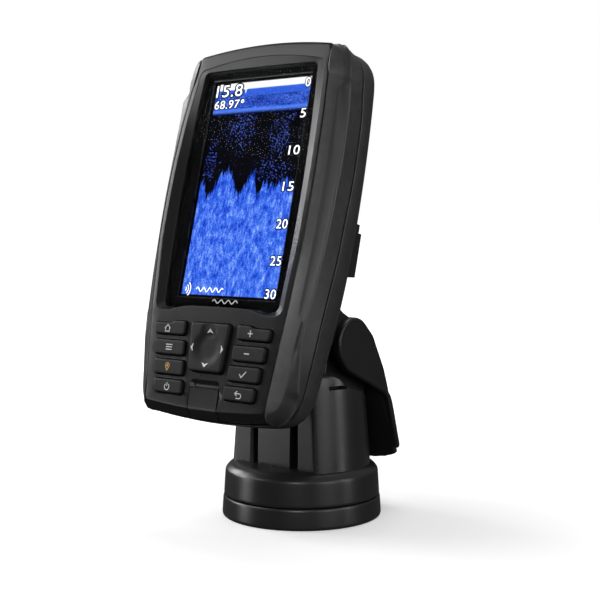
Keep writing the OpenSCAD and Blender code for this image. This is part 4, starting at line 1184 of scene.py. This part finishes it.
def hood_outline():
    """Side plate of the tilt arm seen from its side, (y, z): a round top that runs down to a tail."""
    top = [(PIVOT_Y + 11.6 * math.cos(math.radians(a)), PIVOT_Z + 11.6 * math.sin(math.radians(a)))
           for a in range(228, 30, -9)]
    back = [(17.4, 81.6), (19.4, 77.6), (22.6, 71.8), (25.7, 66.0), (28.1, 59.6), (30.6, 51.9), (33.2, 44.6),
            (35.9, 37.4), (38.5, 30.6), (38.95, 28.6), (38.3, 27.2), (36.9, 26.9)]
    inner = [(36.1, 28.4), (35.2, 32.0), (33.3, 38.8), (31.2, 46.0), (29.8, 50.2), (28.4, 52.6), (26.4, 54.3),
             (20.0, 57.4), (14.2, 60.2), (6.0, 63.8), (-1.6, 67.3)]
    points = [Vector(p).to_3d() for p in top + back + inner]
    flat = [p.to_2d() for p in along(points + points[:1], 170)[:-1]]
    for smoothing in range(2):
        flat = [(flat[i - 1] + flat[i] * 2 + flat[(i + 1) % len(flat)]) / 4 for i in range(len(flat))]
    return flat[::-1]


HOOD_X, HOOD_WALL, HOOD_STEPS = 24.9, 2.2, 36


def hood_section(x, line):
    """Points of the back wall at x, out along line down to the wall's lower edge and back inside it."""
    low = table(abs(x), [(0, 21.3), (12, 21.9), (18, 22.8), (23, 24.2), (25, 25.0)])
    kept = [p for p in line if p.y > low + 0.05]
    last, beyond = kept[-1], line[min(len(kept), len(line) - 1)]
    share = min(1.0, (last.y - low) / max(1e-6, last.y - beyond.y))
    path = along(kept + [last.lerp(beyond, share)], HOOD_STEPS)
    outer, inner = [], []
    for k, p in enumerate(path):
        d = path[min(HOOD_STEPS - 1, k + 1)] - path[max(0, k - 1)]
        n = Vector((d.y, -d.x, 0)).normalized() * HOOD_WALL
        outer.append((x, p.x, p.y))
        inner.append((x, p.x + n.x, p.y + n.y))
    return outer + inner[::-1]


def hood():
    outline = hood_outline()
    levels = ((0.5, 24.6), (0.1, 24.75), (0.0, 25.1), (0.0, 26.9), (0.12, 27.35), (0.42, 27.75),
              (0.85, 27.96), (1.3, 28.0), (1.75, 27.94), (2.1, 27.78))
    for side, word in SIDES:
        plate = side_solid(outline, [(d, side * x) for d, x in levels])
        piece(plate, f"arm_plate_{word}", STAND, ARM_PLASTIC, "head", ["tilt_arm"] if side > 0 else (),
              sharp=34)
    line = spline([Vector((y, z, 0)) for y, z in (
        (3.4, 90.6), (6.4, 90.2), (9.3, 89.0), (11.8, 87.2), (14.0, 84.8), (16.2, 82.2), (19.2, 77.9),
        (22.5, 71.9), (25.6, 66.1), (28.0, 59.7), (30.5, 52.0), (33.1, 44.7), (35.8, 37.5), (38.4, 30.7),
        (40.0, 26.4), (41.4, 22.2), (41.6, 21.2))], 120)
    s = Shell()
    rows = s.loft([hood_section(-HOOD_X + 2 * HOOD_X * k / 24, line) for k in range(25)])
    for row in (rows[0], rows[-1][::-1]):
        s.faces += [(row[k], row[k + 1], row[-k - 2], row[-k - 1]) for k in range(HOOD_STEPS - 1)]
    piece(s, "arm_back_wall", STAND, ARM_PLASTIC, "head", sharp=34)
    bridge = side_prism([(-18.4, 76.6), (-15.3, 75.8), (-9.6, 78.6), (-6.2, 80.6), (-4.6, 83.8), (-1.2, 87.6),
                         (3.4, 88.6), (3.4, 90.5), (0.6, 92.0), (-1, 92.8), (-6.5, 97), (-8.5, 102.6),
                         (-11.6, 103.4)], -24.7, 24.7)
    piece(bridge, "arm_bridge", STAND, ARM_PLASTIC, "head", sharp=34, bevel=0.5)
    for side, word in SIDES:
        rib = side_prism([(36.4, 27), (33.4, 27), (24.6, 53.4), (27.4, 54)],
                         *sorted((side * 7.8, side * 9.2)))
        piece(rib, f"arm_rib_{word}", STAND, ARM_PLASTIC, "head", sharp=34, bevel=0.2)


def copy_node(name, node_name, body, bevel):
    """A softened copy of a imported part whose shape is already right."""
    bm = bmesh.new()
    bm.from_mesh(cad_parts[node_name].data)
    bmesh.ops.remove_doubles(bm, verts=bm.verts, dist=2e-6)
    bmesh.ops.dissolve_limit(bm, angle_limit=math.radians(0.6), verts=bm.verts, edges=bm.edges)
    me = bpy.data.meshes.new(name)
    bm.to_mesh(me)
    bm.free()
    me.shade_smooth()
    piece(me, name, STAND, ARM_PLASTIC, body, [node_name], sharp=30, bevel=bevel)


def latch():
    copy_node("latch_bar", "release_latch", "latch", 0.5)
    for k in range(9):
        v = -24.6 - k * 1.25
        rib = block(-12, 12, -7.25, -6.95, v - 0.35, v + 0.35, HEAD)
        piece(rib, f"latch_rib_{k + 1}", HEAD, ARM_PLASTIC, "latch")


# ---------------------------------------------------------------- parts carried over as they are
NODE_LOOKS = (
    (STEEL, "retainer_screws tilt_axle cradle_screws latch_screws latch_springs housing_screws tray_screws"),
    (STEEL, "board_screws"),
    (PALE, "swivel_washer tilt_bushes friction_washers backlight board_connector"),
    (DARK, "retainer_ring power_socket transducer_socket cradle_plug board_chips beeper head_socket"),
    (TIN, "lcd_tray shield_can dome_switches rocker_post rocker_hub card_socket"),
    (BOARD, "main_board keypad_board"), (SEAL, "lcd_gasket"), (COPPER, "lcd_cable"),
    (FERRITE, "sonar_transformer"), (CERAMIC, "gps_antenna"), (RUBBER, "keypad_mat"))


def dress_nodes():
    for material, names in NODE_LOOKS:
        for name in names.split():
            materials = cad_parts[name].data.materials
            materials.clear()
            materials.append(material)


# ---------------------------------------------------------------- studio
def floor():
    """A white floor that glows more strongly away from the object, so that a painted contact shadow lies
    round the object.
    """
    mesh = bpy.data.meshes.new("floor")
    mesh.from_pydata([(-30, -30, 0), (30, -30, 0), (30, 30, 0), (-30, 30, 0)], [], [(0, 1, 2, 3)])
    mat, tree, bsdf = new_material("white_floor_painted_shadow")
    away = node(tree, "ShaderNodeVectorMath", "Value", operation="LENGTH", Vector=object_place(tree))
    # glow painted lower near the object: a painted contact shadow on the floor
    painted_floor_shadow = color_ramp(away, [(0.05, 0.36), (0.2, 0.56), (0.7, 1.0)], smooth=True)
    set_up(bsdf, Base_Color=(0.86, 0.86, 0.86), Roughness=0.9, Specular_IOR_Level=0.1,
           Emission_Color=painted_floor_shadow, Emission_Strength=1.0)
    mesh.materials.append(mat)
    ground = bpy.data.objects.new("floor", mesh)
    bpy.context.scene.collection.objects.link(ground)
    ground.visible_diffuse = ground.visible_glossy = False


def sky():
    """White behind the object; for its light and reflections, dark low down and brighter overhead."""
    world = bpy.data.worlds.new("studio")
    world.use_nodes = True
    tree = world.node_tree
    tree.nodes.clear()
    around = node(tree, "ShaderNodeTexCoord", "Generated")
    shade = color_ramp(node(tree, "ShaderNodeSeparateXYZ", "Z", Vector=around) * 0.5 + 0.5,
                       [(0.0, 0.05), (0.5, 0.07), (0.62, 0.11), (0.85, 0.26), (1.0, 0.3)])
    soft = node(tree, "ShaderNodeBackground", Color=shade, Strength=1.0)
    seen = node(tree, "ShaderNodeBackground", Color=(1.0, 1.0, 1.0), Strength=1.0)
    mix = tree.nodes.new("ShaderNodeMixShader")
    for socket, value in zip(mix.inputs, (node(tree, "ShaderNodeLightPath", "Is Camera Ray"), soft, seen)):
        feed(socket, value)
    feed(tree.nodes.new("ShaderNodeOutputWorld").inputs[0], Signal(tree, mix.outputs[0]))
    bpy.context.scene.world = world


def lamps():
    """Soft boxes in metres: place, height aimed at on the object's axis, width, length and watts."""
    for name, place, aim_z, size, size_y, power in (
            ("key", (-0.92, -0.42, 0.50), 0.14, 0.34, 0.7, 4.8),
            ("low", (-0.74, -0.66, 0.0), 0.05, 0.26, 0.2, 1.0),
            ("front", (-0.58, -0.72, 0.78), 0.12, 0.4, 0.4, 2.0),
            ("side", (-1.0, 0.02, 0.50), 0.14, 0.3, 0.4, 3.0),
            ("fill", (0.62, -0.98, 0.46), 0.1, 0.3, 0.4, 2.7),
            ("rim", (0.95, 0.33, 0.32), 0.1, 0.16, 0.8, 1.7),
            ("right", (0.98, -0.19, 0.24), 0.08, 0.42, 0.45, 1.5),
            ("top", (-0.1, 0.3, 1.0), 0.1, 0.4, 0.4, 2.0)):
        data = bpy.data.lights.new(name, "AREA")
        data.shape, data.size, data.size_y, data.energy = "RECTANGLE", size, size_y, power
        lamp = bpy.data.objects.new(name, data)
        lamp.location = place
        lamp.rotation_euler = (Vector((0, 0, aim_z)) - Vector(place)).to_track_quat("-Z", "Y").to_euler()
        bpy.context.scene.collection.objects.link(lamp)
        lamp.visible_camera = False


def camera():
    data = bpy.data.cameras.new("camera")
    data.sensor_width, data.lens = 36.0, 72.135
    data.clip_start, data.clip_end = 0.02, 100
    eye = bpy.data.objects.new("camera", data)
    eye.location = (0.34503, -0.42075, 0.13264)
    eye.rotation_euler = (math.radians(90 - 3.715), 0, math.radians(39.433))
    bpy.context.scene.collection.objects.link(eye)
    bpy.context.scene.camera = eye


def studio():
    bpy.context.scene.view_settings.view_transform = "Standard"
    floor()
    sky()
    lamps()
    camera()


middle_frame()
seal_ring()
rear_shell()
fascia()
KEY_WORDS = (("plus", "home"), ("minus", "menu"), ("select", "mark"), ("back", "power"))
for loops, words in zip(zip(RIGHT_KEYS, LEFT_KEYS), KEY_WORDS):
    for loop, word in zip(loops, words):
        key_cap(f"{word}_cap", f"key_{word}_button", f"key_{word}", loop)
rocker()
icons()
door()
screen()
base()
column()
hood()
copy_node("cradle_block", "cradle", "head", 0.6)
latch()
dress_nodes()
studio()
